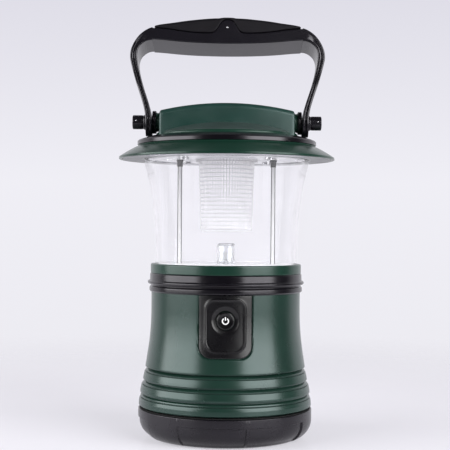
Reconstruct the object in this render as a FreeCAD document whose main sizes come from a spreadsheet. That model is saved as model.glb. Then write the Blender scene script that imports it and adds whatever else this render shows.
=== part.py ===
import FreeCAD, Part
import Sketcher
import math
import os

# Battery camping lantern: twist-off battery base, ribbed green housing with a front
# switch, clear globe with a hanging prism diffuser, wide brimmed canopy and a folding
# carry handle.  Origin at the middle of the foot plane, +Z up, switch on the -Y side,
# handle pivots on a line along X.  All lengths in millimetres.

Vector = FreeCAD.Vector
doc = FreeCAD.newDocument("lantern")
os.makedirs("parts", exist_ok=True)

# ---------------------------------------------------------------- driving dimensions
# alias, value, meaning
DIMENSIONS = [
    # base
    ("foot_r", 45.6, "radius of the standing ring"),
    ("base_r", 56.4, "outer radius of the battery base"),
    ("base_top", 19.3, "top of the base rim"),
    ("base_round", 12.0, "height where the rounded corner ends"),
    ("base_floor", 3.8, "inside floor of the base"),
    ("pad_rad", 5.5, "foot pad radius"),
    ("pad_pos", 36.0, "foot pad distance from the axis"),
    ("pad_tall", 2.2, "foot pad height"),
    ("neck_r", 51.5, "outer radius of the bayonet neck"),
    ("neck_in", 49.0, "inner radius of the bayonet neck"),
    ("neck_top", 27.2, "top of the bayonet neck"),
    ("lug_r", 52.9, "outer radius of the bayonet lugs"),
    ("lug_z", 23.2, "underside of the bayonet lugs"),
    ("lug_tall", 3.0, "height of the bayonet lugs"),
    ("lug_arc", 24.0, "bayonet lug arc, degrees"),
    ("ledge_arc", 60.0, "bayonet ledge arc, degrees"),
    ("ledge_in", 51.6, "inner radius of the ledges"),
    ("recess_top", 13.6, "top of the finger recesses"),
    ("recess_deep", 0.9, "depth of the finger recesses"),
    ("recess_arc", 45.0, "arc of half a finger recess, degrees"),
    ("recess_dir", -77.0, "direction of the first recess, degrees"),
    # housing
    ("shell_z", 19.7, "bottom of the housing"),
    ("shell_top", 94.2, "top of the housing"),
    ("rib_a_r", 56.2, "lowest rib radius"),
    ("rib_b_r", 55.2, "second rib radius"),
    ("rib_c_r", 53.5, "third rib radius"),
    ("lip_r", 52.0, "radius of the lip over the top groove"),
    ("waist_r", 48.4, "waist outer radius"),
    ("waist_in", 45.9, "waist inner radius"),
    ("skirt_in", 53.1, "inner radius around the bayonet"),
    # switch
    ("panel_w", 32.4, "switch panel width"),
    ("panel_z", 55.7, "switch panel bottom"),
    ("panel_top", 94.0, "switch panel top"),
    ("panel_corner", 7.0, "switch panel lower corner radius"),
    ("bezel_w", 25.7, "raised bezel width"),
    ("bezel_z", 58.9, "raised bezel bottom"),
    ("bezel_top", 92.3, "raised bezel top"),
    ("button_z", 78.6, "height of the power button"),
    ("button_r", 5.6, "power button radius"),
    ("button_face", 49.0, "button face distance from the axis"),
    ("well_r", 8.4, "dished well radius"),
    # batteries: standard D cells
    ("cell_r", 17.1, "D cell radius"),
    ("cell_can", 60.0, "D cell can length"),
    ("cell_nub", 1.5, "D cell contact nub length"),
    ("cell_off", 17.5, "cell offset from the axis in x and y"),
    ("carrier_r", 44.5, "battery carrier radius"),
    ("carrier_z", 9.0, "underside of the lower carrier disc"),
    ("disc_t", 2.5, "carrier disc thickness"),
    ("carrier_top", 79.8, "underside of the upper carrier disc"),
    ("carrier_flat", 35.0, "front flat of the carrier discs"),
    ("plate_t", 0.4, "contact plate thickness"),
    # collar, ring, globe
    ("collar_r", 49.7, "collar band radius"),
    ("collar_rib_r", 50.8, "collar rib radius"),
    ("collar_in", 43.4, "collar inner radius"),
    ("ring_z", 105.6, "bottom of the globe ring"),
    ("ring_top", 113.5, "top of the globe ring"),
    ("ring_r", 49.0, "globe ring radius"),
    ("ring_in", 46.6, "globe ring bore radius"),
    ("globe_z", 107.2, "bottom of the globe"),
    ("globe_low_r", 46.4, "globe outer radius at the bottom"),
    ("globe_top_r", 53.5, "globe outer radius at the top"),
    ("globe_top", 181.0, "top of the globe"),
    ("globe_t", 2.1, "globe wall"),
    ("deck_top", 112.8, "top of the white deck"),
    ("deck_r", 44.1, "deck radius"),
    ("tube_r", 5.9, "LED tube outer radius"),
    ("tube_top", 125.6, "LED tube top"),
    ("led_top", 119.5, "LED top"),
    ("rod_x", 30.5, "support rod offset"),
    ("rod_r", 2.0, "support rod radius"),
    ("prism_low_r", 16.2, "diffuser radius at the bottom"),
    ("prism_top_r", 18.3, "diffuser radius at the top"),
    ("prism_z", 133.0, "diffuser bottom"),
    ("prism_pitch", 2.6, "diffuser ring pitch"),
    # canopy
    ("ceiling_z", 180.0, "underside of the top reflector"),
    ("ceiling_t", 1.6, "top reflector thickness"),
    ("ceiling_r", 51.2, "top reflector radius"),
    ("brim_r", 70.3, "brim radius"),
    ("brim_z", 181.3, "brim edge height"),
    ("trim_r", 58.2, "trim ring radius"),
    ("trim_z", 189.2, "trim ring seat height"),
    ("trim_in", 51.8, "trim ring bore radius"),
    ("dome_r", 46.0, "dome radius"),
    ("dome_z", 196.8, "dome edge height"),
    ("dome_top", 205.2, "dome height on the axis"),
    # crown
    ("crown_x", 43.0, "half length of the crown"),
    ("crown_y", 26.0, "half depth of the crown"),
    ("crown_top", 214.6, "crown top in the middle"),
    ("crown_wall", 3.0, "crown wall"),
    ("crown_bow", 2.6, "bow of the crown faces in plan"),
    ("hub_r", 6.5, "pivot hub radius"),
    ("hub_x", 47.4, "pivot hub outer face"),
    ("pivot_z", 204.3, "handle pivot height"),
    ("axle_r", 3.0, "pivot axle radius"),
    ("axle_gap", 0.05, "radial running clearance of the axle"),
    # handle
    ("handle_lean", 10.0, "handle lean at rest, degrees"),
    ("handle_half", 12.5, "half depth of the handle"),
    ("arm_half", 9.2, "half depth of the arms at the pivot"),
    ("arm_in", 48.6, "inner face of the arms at the pivot"),
    ("arm_out", 52.9, "outer face of the arms at the pivot"),
    ("knob_r", 4.6, "pivot knob radius"),
    ("knob_x", 61.6, "outer face of the pivot knobs"),
    ("washer_r", 7.5, "pivot collar radius"),
]
sheet = doc.addObject("Spreadsheet::Sheet", "Dims")
for row, (alias, value, meaning) in enumerate(DIMENSIONS, start=1):
    sheet.set(f"A{row}", meaning)
    sheet.set(f"B{row}", repr(value))
    sheet.setAlias(f"B{row}", alias)
doc.recompute()

NEAR = 0.01      # tolerance of the edge selectors
SCREW_R = 1.5    # shank and bore radius of the deck, canopy and crown screws
SIDES = (("right", 1, "x"), ("left", -1, "-x"))  # name, sign of x, outward direction
OPERATIONS = {"+": lambda one, two: one + two, "-": lambda one, two: one - two,
              "*": lambda one, two: one * two, "/": lambda one, two: one / two}


# --------------------------------------------------------------- sizes and bindings
class Size:
    """A length or angle: its value now, and the sheet expression it comes from."""

    def __init__(self, value, expr):
        self.value = float(value)
        self.expr = expr

    @property
    def bound(self):
        return "Dims." in self.expr

    def __add__(self, other): return combine(self, "+", other)
    def __radd__(self, other): return combine(other, "+", self)
    def __sub__(self, other): return combine(self, "-", other)
    def __rsub__(self, other): return combine(other, "-", self)
    def __mul__(self, other): return combine(self, "*", other)
    def __rmul__(self, other): return combine(other, "*", self)
    def __truediv__(self, other): return combine(self, "/", other)
    def __neg__(self): return Size(-self.value, f"(0 - {self.expr})")


def as_size(number):
    return number if isinstance(number, Size) else Size(number, repr(float(number)))


def combine(left, sign, right):
    left, right = as_size(left), as_size(right)
    return Size(OPERATIONS[sign](left.value, right.value), f"({left.expr} {sign} {right.expr})")


class SheetSizes:
    """Gives every alias of the sheet as a Size."""

    def __getattr__(self, name):
        return Size(sheet.get(name), f"Dims.{name}")


dim = SheetSizes()


def bind(obj, prop, size):
    """Tie a property to the sheet, or set it once if the size is a plain number."""
    size = as_size(size)
    if size.bound:
        obj.setExpression(prop, size.expr)
    elif prop.startswith(".Placement.Base."):
        place = obj.Placement
        base = place.Base
        setattr(base, prop[-1], size.value)
        place.Base = base
        obj.Placement = place
    else:
        setattr(obj, prop, size.value)


def turned(axis, degrees):
    return FreeCAD.Placement(Vector(0, 0, 0), FreeCAD.Rotation(Vector(*axis), degrees))


def move(obj, x=0, y=0, z=0, turn=None):
    """Bind the position of an object; turn is (axis, degrees)."""
    if turn is not None:
        obj.Placement = turned(*turn)
    for name, size in (("x", x), ("y", y), ("z", z)):
        bind(obj, f".Placement.Base.{name}", size)
    return obj


def polar(radius, degrees):
    """x and y of a point at a radius and direction, still tied to the sheet."""
    angle = math.radians(degrees)
    radius = as_size(radius)
    return radius * round(math.cos(angle), 9), radius * round(math.sin(angle), 9)


def mirrored(points):
    """The points mirrored in the vertical axis, in reverse order."""
    return [(-as_size(across), up) for across, up in reversed(points)]


# ---------------------------------------------------------------- sketches and bodies
def arc_through(first, middle, last):
    """Counter-clockwise arc, and whether it runs from last to first."""
    circle = Part.Arc(first, middle, last).toShape().Curve
    center = circle.Center
    angles = [math.atan2(point.y - center.y, point.x - center.x)
              for point in (first, middle, last)]
    full = 2 * math.pi
    swapped = (angles[1] - angles[0]) % full > (angles[2] - angles[0]) % full
    if swapped:
        angles.reverse()
    arc = Part.ArcOfCircle(Part.Circle(center, Vector(0, 0, 1), circle.Radius), angles[0],
                           angles[0] + (angles[2] - angles[0]) % full)
    return arc, swapped


def draw(sketch, outline):
    """Closed outline of lines and arcs; every corner is held by two bound distances.

    Each entry is (u, v) or (u, v, (mid_u, mid_v)): the second form starts an arc
    through (mid_u, mid_v) to the next corner.
    """
    count = len(outline)
    corners = [(as_size(entry[0]), as_size(entry[1])) for entry in outline]
    points = [Vector(u.value, v.value, 0) for u, v in corners]
    curves, starts, ends = [], [], []
    for i, entry in enumerate(outline):
        first, last = points[i], points[(i + 1) % count]
        swapped = False
        if len(entry) > 2:
            middle = Vector(as_size(entry[2][0]).value, as_size(entry[2][1]).value, 0)
            curve, swapped = arc_through(first, middle, last)
        else:
            curve = Part.LineSegment(first, last)
        curves.append(curve)
        starts.append(2 if swapped else 1)
        ends.append(1 if swapped else 2)
    ids = list(sketch.addGeometry(curves, False))
    constraints = []
    for i in range(count):
        after = (i + 1) % count
        constraints.append(
            Sketcher.Constraint("Coincident", ids[i], ends[i], ids[after], starts[after]))
    expressions = []
    for i, corner in enumerate(corners):
        for kind, axis, size in (("X", -2, corner[0]), ("Y", -1, corner[1])):
            if abs(size.value) < 1e-9 and not size.bound:
                constraints.append(
                    Sketcher.Constraint("PointOnObject", ids[i], starts[i], axis))
                continue
            constraints.append(Sketcher.Constraint(
                "Distance" + kind, -1, 1, ids[i], starts[i], size.value))
            if size.bound:
                expressions.append((len(constraints) - 1, size.expr))
    for i, entry in enumerate(outline):
        if len(entry) > 2:
            constraints.append(
                Sketcher.Constraint("Radius", ids[i], sketch.Geometry[ids[i]].Radius))
    sketch.addConstraint(constraints)
    for index, expr in expressions:
        sketch.setExpression(f"Constraints[{index}]", expr)


def sketched_body(name, role, outline):
    """PartDesign body with an outline on one of its origin planes."""
    body = doc.addObject("PartDesign::Body", name)
    sketch = body.newObject("Sketcher::SketchObject", name + "_profile")
    plane = [feature for feature in body.Origin.OriginFeatures if feature.Role == role][0]
    sketch.AttachmentSupport = [(plane, "")]
    sketch.MapMode = "FlatFace"
    draw(sketch, outline)
    return body, sketch


def lowered(entry, base):
    """An outline entry with its heights measured from base."""
    radius, height, *middle = entry
    return (radius, height - base, *[(mid_r, mid_z - base) for mid_r, mid_z in middle])


def spun(name, outline, base=0):
    """Body turned about Z from (radius, height) entries; heights are absolute."""
    base = as_size(base)
    body, sketch = sketched_body(name, "XZ_Plane", [lowered(entry, base) for entry in outline])
    turn = body.newObject("PartDesign::Revolution", name + "_turn")
    turn.Profile = sketch
    turn.ReferenceAxis = (sketch, ["V_Axis"])
    bind(turn, "Angle", 360)
    sketch.Visibility = False
    return move(body, z=base)


def padded(name, role, outline, length, base=(0, 0, 0)):
    """Body with its outline on an origin plane, padded both ways from the plane."""
    body, sketch = sketched_body(name, role, outline)
    pad = body.newObject("PartDesign::Pad", name + "_pad")
    pad.Profile = sketch
    pad.Midplane = True
    bind(pad, "Length", length)
    sketch.Visibility = False
    return move(body, *base)


def arc_piece(name, outline, start, span):
    """(radius, height) outline turned about Z from direction start through span degrees."""
    start = as_size(start)
    sketch = doc.addObject("Sketcher::SketchObject", name + "_profile")
    sketch.Placement = turned((1, 0, 0), 90)
    draw(sketch, outline)
    piece = doc.addObject("Part::Revolution", name)
    piece.Source = sketch
    piece.Axis = Vector(0, 0, 1)
    piece.Base = Vector(0, 0, 0)
    piece.Solid = True
    bind(piece, "Angle", span)
    piece.Placement = turned((0, 0, 1), start.value)
    if start.bound:
        piece.setExpression(".Placement.Rotation.Angle", start.expr)
    return piece


# ------------------------------------------------------------ primitives and booleans
DIRECTIONS = {"z": None, "x": ((0, 1, 0), 90), "-x": ((0, 1, 0), -90), "y": ((1, 0, 0), -90)}


def primitive(kind, name, sizes, x, y, z, along="z"):
    obj = doc.addObject("Part::" + kind, name)
    for prop, size in sizes.items():
        bind(obj, prop, size)
    return move(obj, x, y, z, turn=DIRECTIONS[along])


def box(name, x, y, z, length, width, height):
    return primitive("Box", name, {"Length": length, "Width": width, "Height": height}, x, y, z)


def rod(name, radius, length, x=0, y=0, z=0, along="z"):
    return primitive("Cylinder", name, {"Radius": radius, "Height": length}, x, y, z, along)


def cone(name, start_r, end_r, length, x=0, y=0, z=0, along="z"):
    sizes = {"Radius1": start_r, "Radius2": end_r, "Height": length}
    return primitive("Cone", name, sizes, x, y, z, along)


def hexagon(name, radius, length, x, y, z):
    prism = doc.addObject("Part::Prism", name)
    prism.Polygon = 6
    bind(prism, "Circumradius", radius)
    bind(prism, "Height", length)
    return move(prism, x, y, z)


def rods(name, places, radius, length, z):
    """Upright rods, one at each (x, y) place."""
    return [rod(f"{name}_{i}", radius, length, x, y, z) for i, (x, y) in enumerate(places)]


def side_rods(name, radius, length, reach, z=0):
    """Right and left rods pointing outward along X, starting at reach from the middle."""
    return [rod(f"{name}_{side}", radius, length, reach * sign, 0, z, along)
            for side, sign, along in SIDES]


def fuse(name, things, refine=True):
    result = doc.addObject("Part::MultiFuse", name)
    result.Shapes = things
    result.Refine = refine
    return result


def cut(name, base, tool):
    if isinstance(tool, list):
        tool = fuse(name + "_tools", tool)
    result = doc.addObject("Part::Cut", name)
    result.Base = base
    result.Tool = tool
    result.Refine = True
    return result


def common(name, things):
    result = doc.addObject("Part::MultiCommon", name)
    result.Shapes = things
    result.Refine = True
    return result


def group(name, things):
    result = doc.addObject("Part::Compound", name)
    result.Links = things
    return result


def rounded(name, base, accepts, radius):
    """Fillet the edges of base that accepts() takes."""
    doc.recompute()
    size = as_size(radius).value
    result = doc.addObject("Part::Fillet", name)
    result.Base = base
    result.Edges = [(i, size, size) for i, edge in enumerate(base.Shape.Edges, start=1)
                    if accepts(edge)]
    return result


def joined(name, heads, shanks):
    """Screws, each fused from a head and a shank."""
    return [fuse(f"{name}_{i}", list(halves)) for i, halves in enumerate(zip(heads, shanks))]


def screws(name, prefix, places, head, shank):
    """Upright screws; head and shank are (radius, length, z)."""
    return group(name + "s", joined(name, rods(prefix + "_head", places, *head),
                                    rods(prefix + "_shank", places, *shank)))


def sweep(points, radius):
    """Round wire along a free curve; it takes its shape directly from points."""
    curve = Part.BSplineCurve()
    curve.interpolate([Vector(*point) for point in points])
    path = Part.Wire([curve.toShape()])
    tangent = curve.tangent(curve.FirstParameter)[0]
    section = Part.Wire([Part.makeCircle(radius, Vector(*points[0]), tangent)])
    return Part.Solid(path.makePipeShell([section], True, True).Shells[0])


NODES = {}


def node(name, obj, label):
    """Register a finished piece for export."""
    obj.Label = label
    NODES[name] = obj


# ---------------------------------------------------------------------- battery base
corner_r = dim.base_r - 3.45  # middle of the rounded corner, at height CORNER_Z
CORNER_Z = 3.75
cap = spun("cap_blank", [
    (0, 1.2), (dim.foot_r - 4.1, 1.2), (dim.foot_r - 3.4, 0.3),
    (dim.foot_r, 0.3, (corner_r, CORNER_Z)),
    (dim.base_r, dim.base_round), (dim.base_r, dim.base_top - 0.4),
    (dim.base_r - 0.4, dim.base_top), (dim.neck_r, dim.base_top),
    (dim.neck_r, dim.neck_top), (dim.neck_in, dim.neck_top),
    (dim.neck_in, dim.base_floor), (0, dim.base_floor)])
pad_places = [polar(dim.pad_pos, 45 + 90 * i) for i in range(4)]
pads = rods("pad", pad_places, dim.pad_rad, dim.pad_tall, 0)
pad_holes = rods("pad_hole", pad_places, dim.pad_rad, dim.pad_tall, 0)

lug_root = dim.neck_r - 0.6  # sunk into the neck
lug_outline = [
    (lug_root, dim.lug_z), (dim.lug_r, dim.lug_z),
    (dim.lug_r, dim.lug_z + dim.lug_tall), (lug_root, dim.lug_z + dim.lug_tall)]
lugs = [arc_piece(f"lug_{i}", lug_outline, -102.0 + 120 * i, dim.lug_arc) for i in range(3)]

# Each finger recess is two arcs with a gap between them.
recess_r = dim.base_r - dim.recess_deep
recess_outline = [
    (dim.foot_r + 0.6, 1.0,
     (corner_r - dim.recess_deep * 0.7, CORNER_Z + dim.recess_deep * 0.7)),
    (recess_r, dim.base_round + 0.2), (recess_r, dim.recess_top),
    (dim.base_r + 2, dim.recess_top), (dim.base_r + 2, -1), (dim.foot_r + 0.6, -1)]
recesses = [
    arc_piece(f"recess_{i}_{half}", recess_outline,
              dim.recess_dir + 120 * i + offset, dim.recess_arc)
    for i in range(3) for half, offset in enumerate((-46.0, 1.0))]
node("base_cap", cut("base_cap", fuse("cap_full", [cap] + lugs), pad_holes + recesses),
     "Battery base with bayonet neck")
node("foot_pads", group("foot_pads", pads), "Rubber foot pads")

seal_in, seal_out = dim.skirt_in + 0.2, dim.base_r - 0.9
node("base_seal", spun("base_seal", [
    (seal_in, dim.base_top), (seal_out, dim.base_top),
    (seal_out, dim.shell_z), (seal_in, dim.shell_z)], dim.base_top), "Base seal")

# --------------------------------------------------------------------- ribbed housing
# Waist profile: height, rise of the surface over the waist radius
WAIST_LINE = [(50.0, 3.6), (55.9, 2.0), (63.7, 1.0), (71.5, 0.3), (85.3, 0.0), (96.0, 0.0)]
# Outside of the housing from the bottom up: radius, height
rib_a, rib_b, rib_c, lip = dim.rib_a_r, dim.rib_b_r, dim.rib_c_r, dim.lip_r
shell_outside = [
    (rib_a - 0.5, dim.shell_z), (rib_a, dim.shell_z + 0.7), (rib_a - 0.15, 23.9),
    (rib_a - 0.5, 25.3), (rib_a - 0.9, 26.1),
    (rib_b, 26.6), (rib_b - 0.3, 27.4), (rib_b - 1.3, 28.4), (rib_b - 1.3, 29.0),
    (rib_b, 29.25), (rib_b - 0.35, 31.9), (rib_b - 0.8, 34.1), (rib_b - 1.3, 34.9),
    (rib_c - 0.3, 35.6), (rib_c - 1.6, 36.7), (rib_c - 1.55, 37.5), (rib_c, 37.75),
    (rib_c - 0.4, 39.6), (rib_c - 0.9, 42.3), (rib_c - 1.5, 43.0),
    (lip - 0.5, 43.7), (lip - 2.1, 45.0), (lip - 2.1, 45.75), (lip, 46.0), (lip - 0.7, 50.0)]
shell_outside += [(dim.waist_r + rise, height) for height, rise in WAIST_LINE[1:5]]
# Inside of the housing from the top down: radius, height
shell_inside = [
    (dim.waist_in, dim.shell_top), (dim.waist_in, 66.0), (dim.waist_in + 0.7, 56.0),
    (dim.waist_in + 2.3, 46.0), (dim.waist_in + 2.4, 40.0), (dim.waist_in + 4.4, 36.0),
    (dim.waist_in + 4.4, 31.0), (dim.skirt_in, 27.6), (dim.skirt_in, dim.shell_z)]
shell = spun("shell_blank",
             shell_outside + [(dim.waist_r, dim.shell_top)] + shell_inside)


def ledge(name, top, start, span):
    """Inward step of the skirt, up to height top."""
    root = dim.skirt_in + 0.6
    return arc_piece(name, [(dim.ledge_in, 20.2), (root, 20.2), (root, top),
                            (dim.ledge_in, top)], start, span)


STOPS = ((43.0, 4.0), (-29.0, 3.5))  # direction from the ledge start, arc, degrees
ledges = []
for i in range(3):
    ledge_start = -120.0 + 120 * i
    ledges.append(ledge(f"ledge_{i}", 22.9, ledge_start, dim.ledge_arc))
    for k, (offset, span) in enumerate(STOPS):
        ledges.append(ledge(f"stop_{i}_{k}", 27.0, ledge_start + offset, span))

FRONT_Y, FRONT_DEEP = -60, 25  # the front blanks start at this y and are this deep


def along_y(edge):
    return abs(edge.BoundBox.ZLength) < NEAR and abs(edge.BoundBox.XLength) < NEAR


def panel_block(name, margin, height):
    """Box with the panel's outline grown by margin and its lower corners rounded."""
    bottom = dim.panel_z - margin
    blank = box(name, -(dim.panel_w / 2 + margin), FRONT_Y, bottom,
                dim.panel_w + 2 * margin, FRONT_DEEP, height)
    return rounded(name + "_r", blank, lambda edge: along_y(edge)
                   and abs(edge.BoundBox.ZMin - bottom.value) < NEAR,
                   dim.panel_corner + margin)


def panel_ring(name, outer, inner):
    """Ring that follows the waist, between two offsets from its outer surface."""
    front = [(dim.waist_r + (rise + outer), height) for height, rise in WAIST_LINE]
    back = [(dim.waist_r + (rise + inner), height) for height, rise in reversed(WAIST_LINE)]
    return spun(name, front + back)


panel_hole = panel_block("panel_hole", 0.0, 50)
border_block = panel_block("border_box", 1.1, 50)
border_cut = common("border_cut", [border_block, panel_ring("border_ring", 3.0, -0.9)])
node("body_shell", cut("body_shell", fuse("shell_full", [shell] + ledges),
                       [panel_hole, border_cut]), "Ribbed housing")

# ----------------------------------------------------------------------- switch panel
BOARD_Y = -38.0      # front face of the switch board
BOARD_THICK = 1.6
BOARD_SCREW_R = 1.1
BOARD_PLACES = [(-9.5, 69.0), (9.5, 69.0), (-9.5, 83.5), (9.5, 83.5)]  # x, z of the screws


def board_rods(name, radius, length, y):
    """Rods toward +Y, one at each board screw."""
    return [rod(f"{name}_{i}", radius, length, x, y, z, "y")
            for i, (x, z) in enumerate(BOARD_PLACES)]


panel_blank = panel_block("panel_box", 0.0, dim.panel_top - dim.panel_z)
bezel_box = box("bezel_box", -(dim.bezel_w / 2), FRONT_Y, dim.bezel_z,
                dim.bezel_w, FRONT_DEEP, dim.bezel_top - dim.bezel_z)
bezel_blank = rounded("bezel_box_r", bezel_box, along_y, 4.2)
panel_body = common("panel_body", [panel_blank, panel_ring("panel_ring", 0.05, -2.5)])
panel_lift = common("panel_lift", [bezel_blank, panel_ring("bezel_ring", 0.75, -2.0)])
posts = board_rods("post", 2.4, 8.0, BOARD_Y - 8.0)
post_bores = board_rods("post_bore", BOARD_SCREW_R, 5.0, BOARD_Y - 5.0)
well = cone("well", dim.well_r, dim.button_r + 0.5, 1.6,
            0, -(dim.button_face + 0.3), dim.button_z, "y")
button_bore = rod("button_bore", dim.button_r + 0.08, 20, 0, -60, dim.button_z, "y")
node("switch_panel", cut("switch_panel",
                         fuse("panel_full", [panel_body, panel_lift] + posts),
                         [well, button_bore] + post_bores), "Switch panel with bezel")

# The button and its symbol
stem = rounded("button_stem_r",
               rod("button_stem", dim.button_r, 4.6, 0, -dim.button_face, dim.button_z, "y"),
               lambda edge: abs(edge.BoundBox.YMin + dim.button_face.value) < NEAR
               and edge.BoundBox.YLength < NEAR, 0.5)
flange = rod("button_flange", dim.button_r + 1.2, 1.0, 0, -45.2, dim.button_z, "y")
button_blank = fuse("button_blank", [stem, flange])


def power_symbol(suffix):
    """Open ring and bar, just proud of the button face."""
    front = -(dim.button_face + 0.05)
    thick = 0.35
    ring = cut("icon_ring" + suffix,
               rod("icon_out" + suffix, 2.6, thick, 0, front, dim.button_z, "y"),
               [rod("icon_in" + suffix, 1.95, 2, 0, -50, dim.button_z, "y"),
                box("icon_gap" + suffix, -0.95, -50, dim.button_z + 0.9, 1.9, 2, 3)])
    bar = box("icon_bar" + suffix, -0.33, front, dim.button_z + 0.5, 0.66, thick, 2.5)
    return [ring, bar]


node("power_button", cut("power_button", button_blank, power_symbol("_c")), "Power button")
node("power_icon", group("power_icon", power_symbol("")), "Power symbol inlay")
node("tact_switch", fuse("tact_switch", [
    box("tact_box", -3, BOARD_Y - 3.5, dim.button_z - 3, 6, 3.5, 6),
    rod("tact_plunger", 1.75, 1.6, 0, -42.8, dim.button_z, "y")]), "Push switch")
node("switch_board", cut("switch_board",
                         box("board_blank", -13, BOARD_Y, 65.5, 26, BOARD_THICK, 20.5),
                         board_rods("board_hole", BOARD_SCREW_R, 4, BOARD_Y - 1.0)),
     "Switch board")
node("board_screws", group("board_screws", joined(
    "board_screw", board_rods("bs_head", 2.1, 1.1, BOARD_Y + BOARD_THICK),
    board_rods("bs_shank", BOARD_SCREW_R, 6.6, BOARD_Y - 5.0))), "Board screws")

# --------------------------------------------------------------------- battery pack
carrier_floor = dim.carrier_z + dim.disc_t
carrier_tall = dim.carrier_top - dim.carrier_z


def disc(name, radius, z, thick):
    """Disc with the carrier's flat cut across its front."""
    return cut(name, rod(name + "_round", radius, thick, 0, 0, z),
               box(name + "_flat", -60, -(dim.carrier_flat + 20), z - 1, 120, 20, thick + 2))


carrier = [
    disc("disc_low", dim.carrier_r, dim.carrier_z, dim.disc_t),
    disc("disc_high", dim.carrier_r, dim.carrier_top, dim.disc_t),
    rod("spine", 6.2, carrier_tall, 0, 0, dim.carrier_z)]
for side, x, y in (("left", -37, 0), ("right", 37, 0), ("back", 0, 37)):
    carrier.append(rod(f"post_{side}", 4.6, carrier_tall, x, y, dim.carrier_z))
foot_z = dim.base_floor + 0.1
for letter, x, y in (("a", 30, 10), ("b", -30, 10), ("c", 0, -30)):
    carrier.append(rod(f"foot_{letter}", 3.0, dim.carrier_z - foot_z + 0.5, x, y, foot_z))
node("battery_carrier", fuse("battery_carrier", carrier), "Battery carrier")

# Conical contact spring: eight points a turn, narrowing as it rises
SPRING_STEPS = 20
SPRING_TALL = 4.4
SPRING_ROOM = 6.0       # space left for a spring at the end of a cell
SPRING_WIRE_R = 0.5
spring_points = []
for k in range(SPRING_STEPS + 1):
    coil_r = 7.0 - 2.6 * k / SPRING_STEPS
    angle = k * math.pi / 4
    spring_points.append((coil_r * math.cos(angle), coil_r * math.sin(angle),
                          SPRING_TALL * k / SPRING_STEPS))

# Cells stand alternately nub up and nub down: sign of x, sign of y, nub up
CELLS = ((1, 1, True), (-1, 1, False), (-1, -1, True), (1, -1, False))
cells, springs = [], []
plate_top = carrier_floor + dim.plate_t
for i, (sign_x, sign_y, nub_up) in enumerate(CELLS):
    x, y = dim.cell_off * sign_x, dim.cell_off * sign_y
    if nub_up:
        can_z = plate_top + SPRING_ROOM
        nub_z = can_z + dim.cell_can
        spring_z = plate_top + 0.9
    else:
        can_z = plate_top + dim.cell_nub
        nub_z = plate_top
        spring_z = can_z + dim.cell_can + 0.9
    can = rounded(f"can_r_{i}", rod(f"can_{i}", dim.cell_r, dim.cell_can, x, y, can_z),
                  lambda edge: edge.BoundBox.ZLength < NEAR, 1.4)
    cells.append(fuse(f"cell_{i}", [can, rod(f"nub_{i}", 4.75, dim.cell_nub, x, y, nub_z)]))
    coil = doc.addObject("Part::Feature", f"coil_{i}")
    coil.Shape = sweep(spring_points, SPRING_WIRE_R)
    springs.append(move(coil, x, y, spring_z))
node("battery_cells", group("battery_cells", cells), "D cells")
node("battery_springs", group("battery_springs", springs), "Contact springs")

# Straps join the cells in pairs: along X at the bottom, along Y at the top
STRAP_LONG, STRAP_WIDE = 48, 14
low_straps, high_straps = [], []
for sign in (1, -1):
    edge_at = dim.cell_off * sign - STRAP_WIDE / 2
    low_straps.append(box(f"strap_0_{sign}", -STRAP_LONG / 2, edge_at, carrier_floor,
                          STRAP_LONG, STRAP_WIDE, dim.plate_t))
    high_straps.append(box(f"strap_{sign}_0", edge_at, -STRAP_LONG / 2,
                           dim.carrier_top - dim.plate_t,
                           STRAP_WIDE, STRAP_LONG, dim.plate_t))
node("contact_plates", group("contact_plates", low_straps + high_straps),
     "Cell contact plates")

# Bent leaf in side view: x, height
LEAF = [(-9, 3.7), (-9, 3.3), (0, 3.3), (6, 0.0), (9, 0.0), (9, 0.4), (6.1, 0.4), (0.1, 3.7)]
node("output_contacts", group("output_contacts", [
    padded(f"leaf_{i}", "XZ_Plane", LEAF, 6, (x, 12, dim.carrier_top + dim.disc_t))
    for i, x in enumerate((-14, 14))]), "Output leaf contacts")

# Compartment ceiling, held by the deck screws, with the driver board on top of it
PLATE_Z, PLATE_THICK = 86.0, 2.5
DRIVER_Z, DRIVER_THICK = 90.0, 1.6
STANDOFF_Z = PLATE_Z + PLATE_THICK
PARTS_Z = DRIVER_Z + DRIVER_THICK
DECK_SCREW_Z = 89.5  # tip of the deck screws
deck_screw_places = [polar(38.0, 30), polar(38.0, 150), (0, -30)]
ceiling_plate = fuse("ceiling_plate", [
    disc("ceiling_disc", dim.collar_in - 0.2, PLATE_Z, PLATE_THICK)]
    + rods("ceiling_post", deck_screw_places, 3.4, 8.0, 88.0))
node("ceiling_plate", cut("ceiling_plate_drilled", ceiling_plate,
                          rods("ceil_hole", deck_screw_places, SCREW_R, 10, DECK_SCREW_Z)),
     "Battery compartment ceiling")
node("driver_board", rod("driver_disc", 26, DRIVER_THICK, 0, 0, DRIVER_Z), "Driver board")
node("board_standoffs", group("board_standoffs", rods(
    "standoff", [polar(21.0, 60 + 120 * i) for i in range(3)],
    2.2, DRIVER_Z - STANDOFF_Z, STANDOFF_Z)), "Driver board standoffs")
node("driver_parts", group("driver_parts", [
    rod("cap_can", 4.0, 9.0, 10, 8, PARTS_Z), box("coil_block", -16, -4, PARTS_Z, 10, 10, 5.0),
    box("chip", -3, -14, PARTS_Z, 8, 6, 1.6), rod("cap_can_b", 3.0, 7.0, 2, 15, PARTS_Z)]),
    "Driver components")

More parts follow.
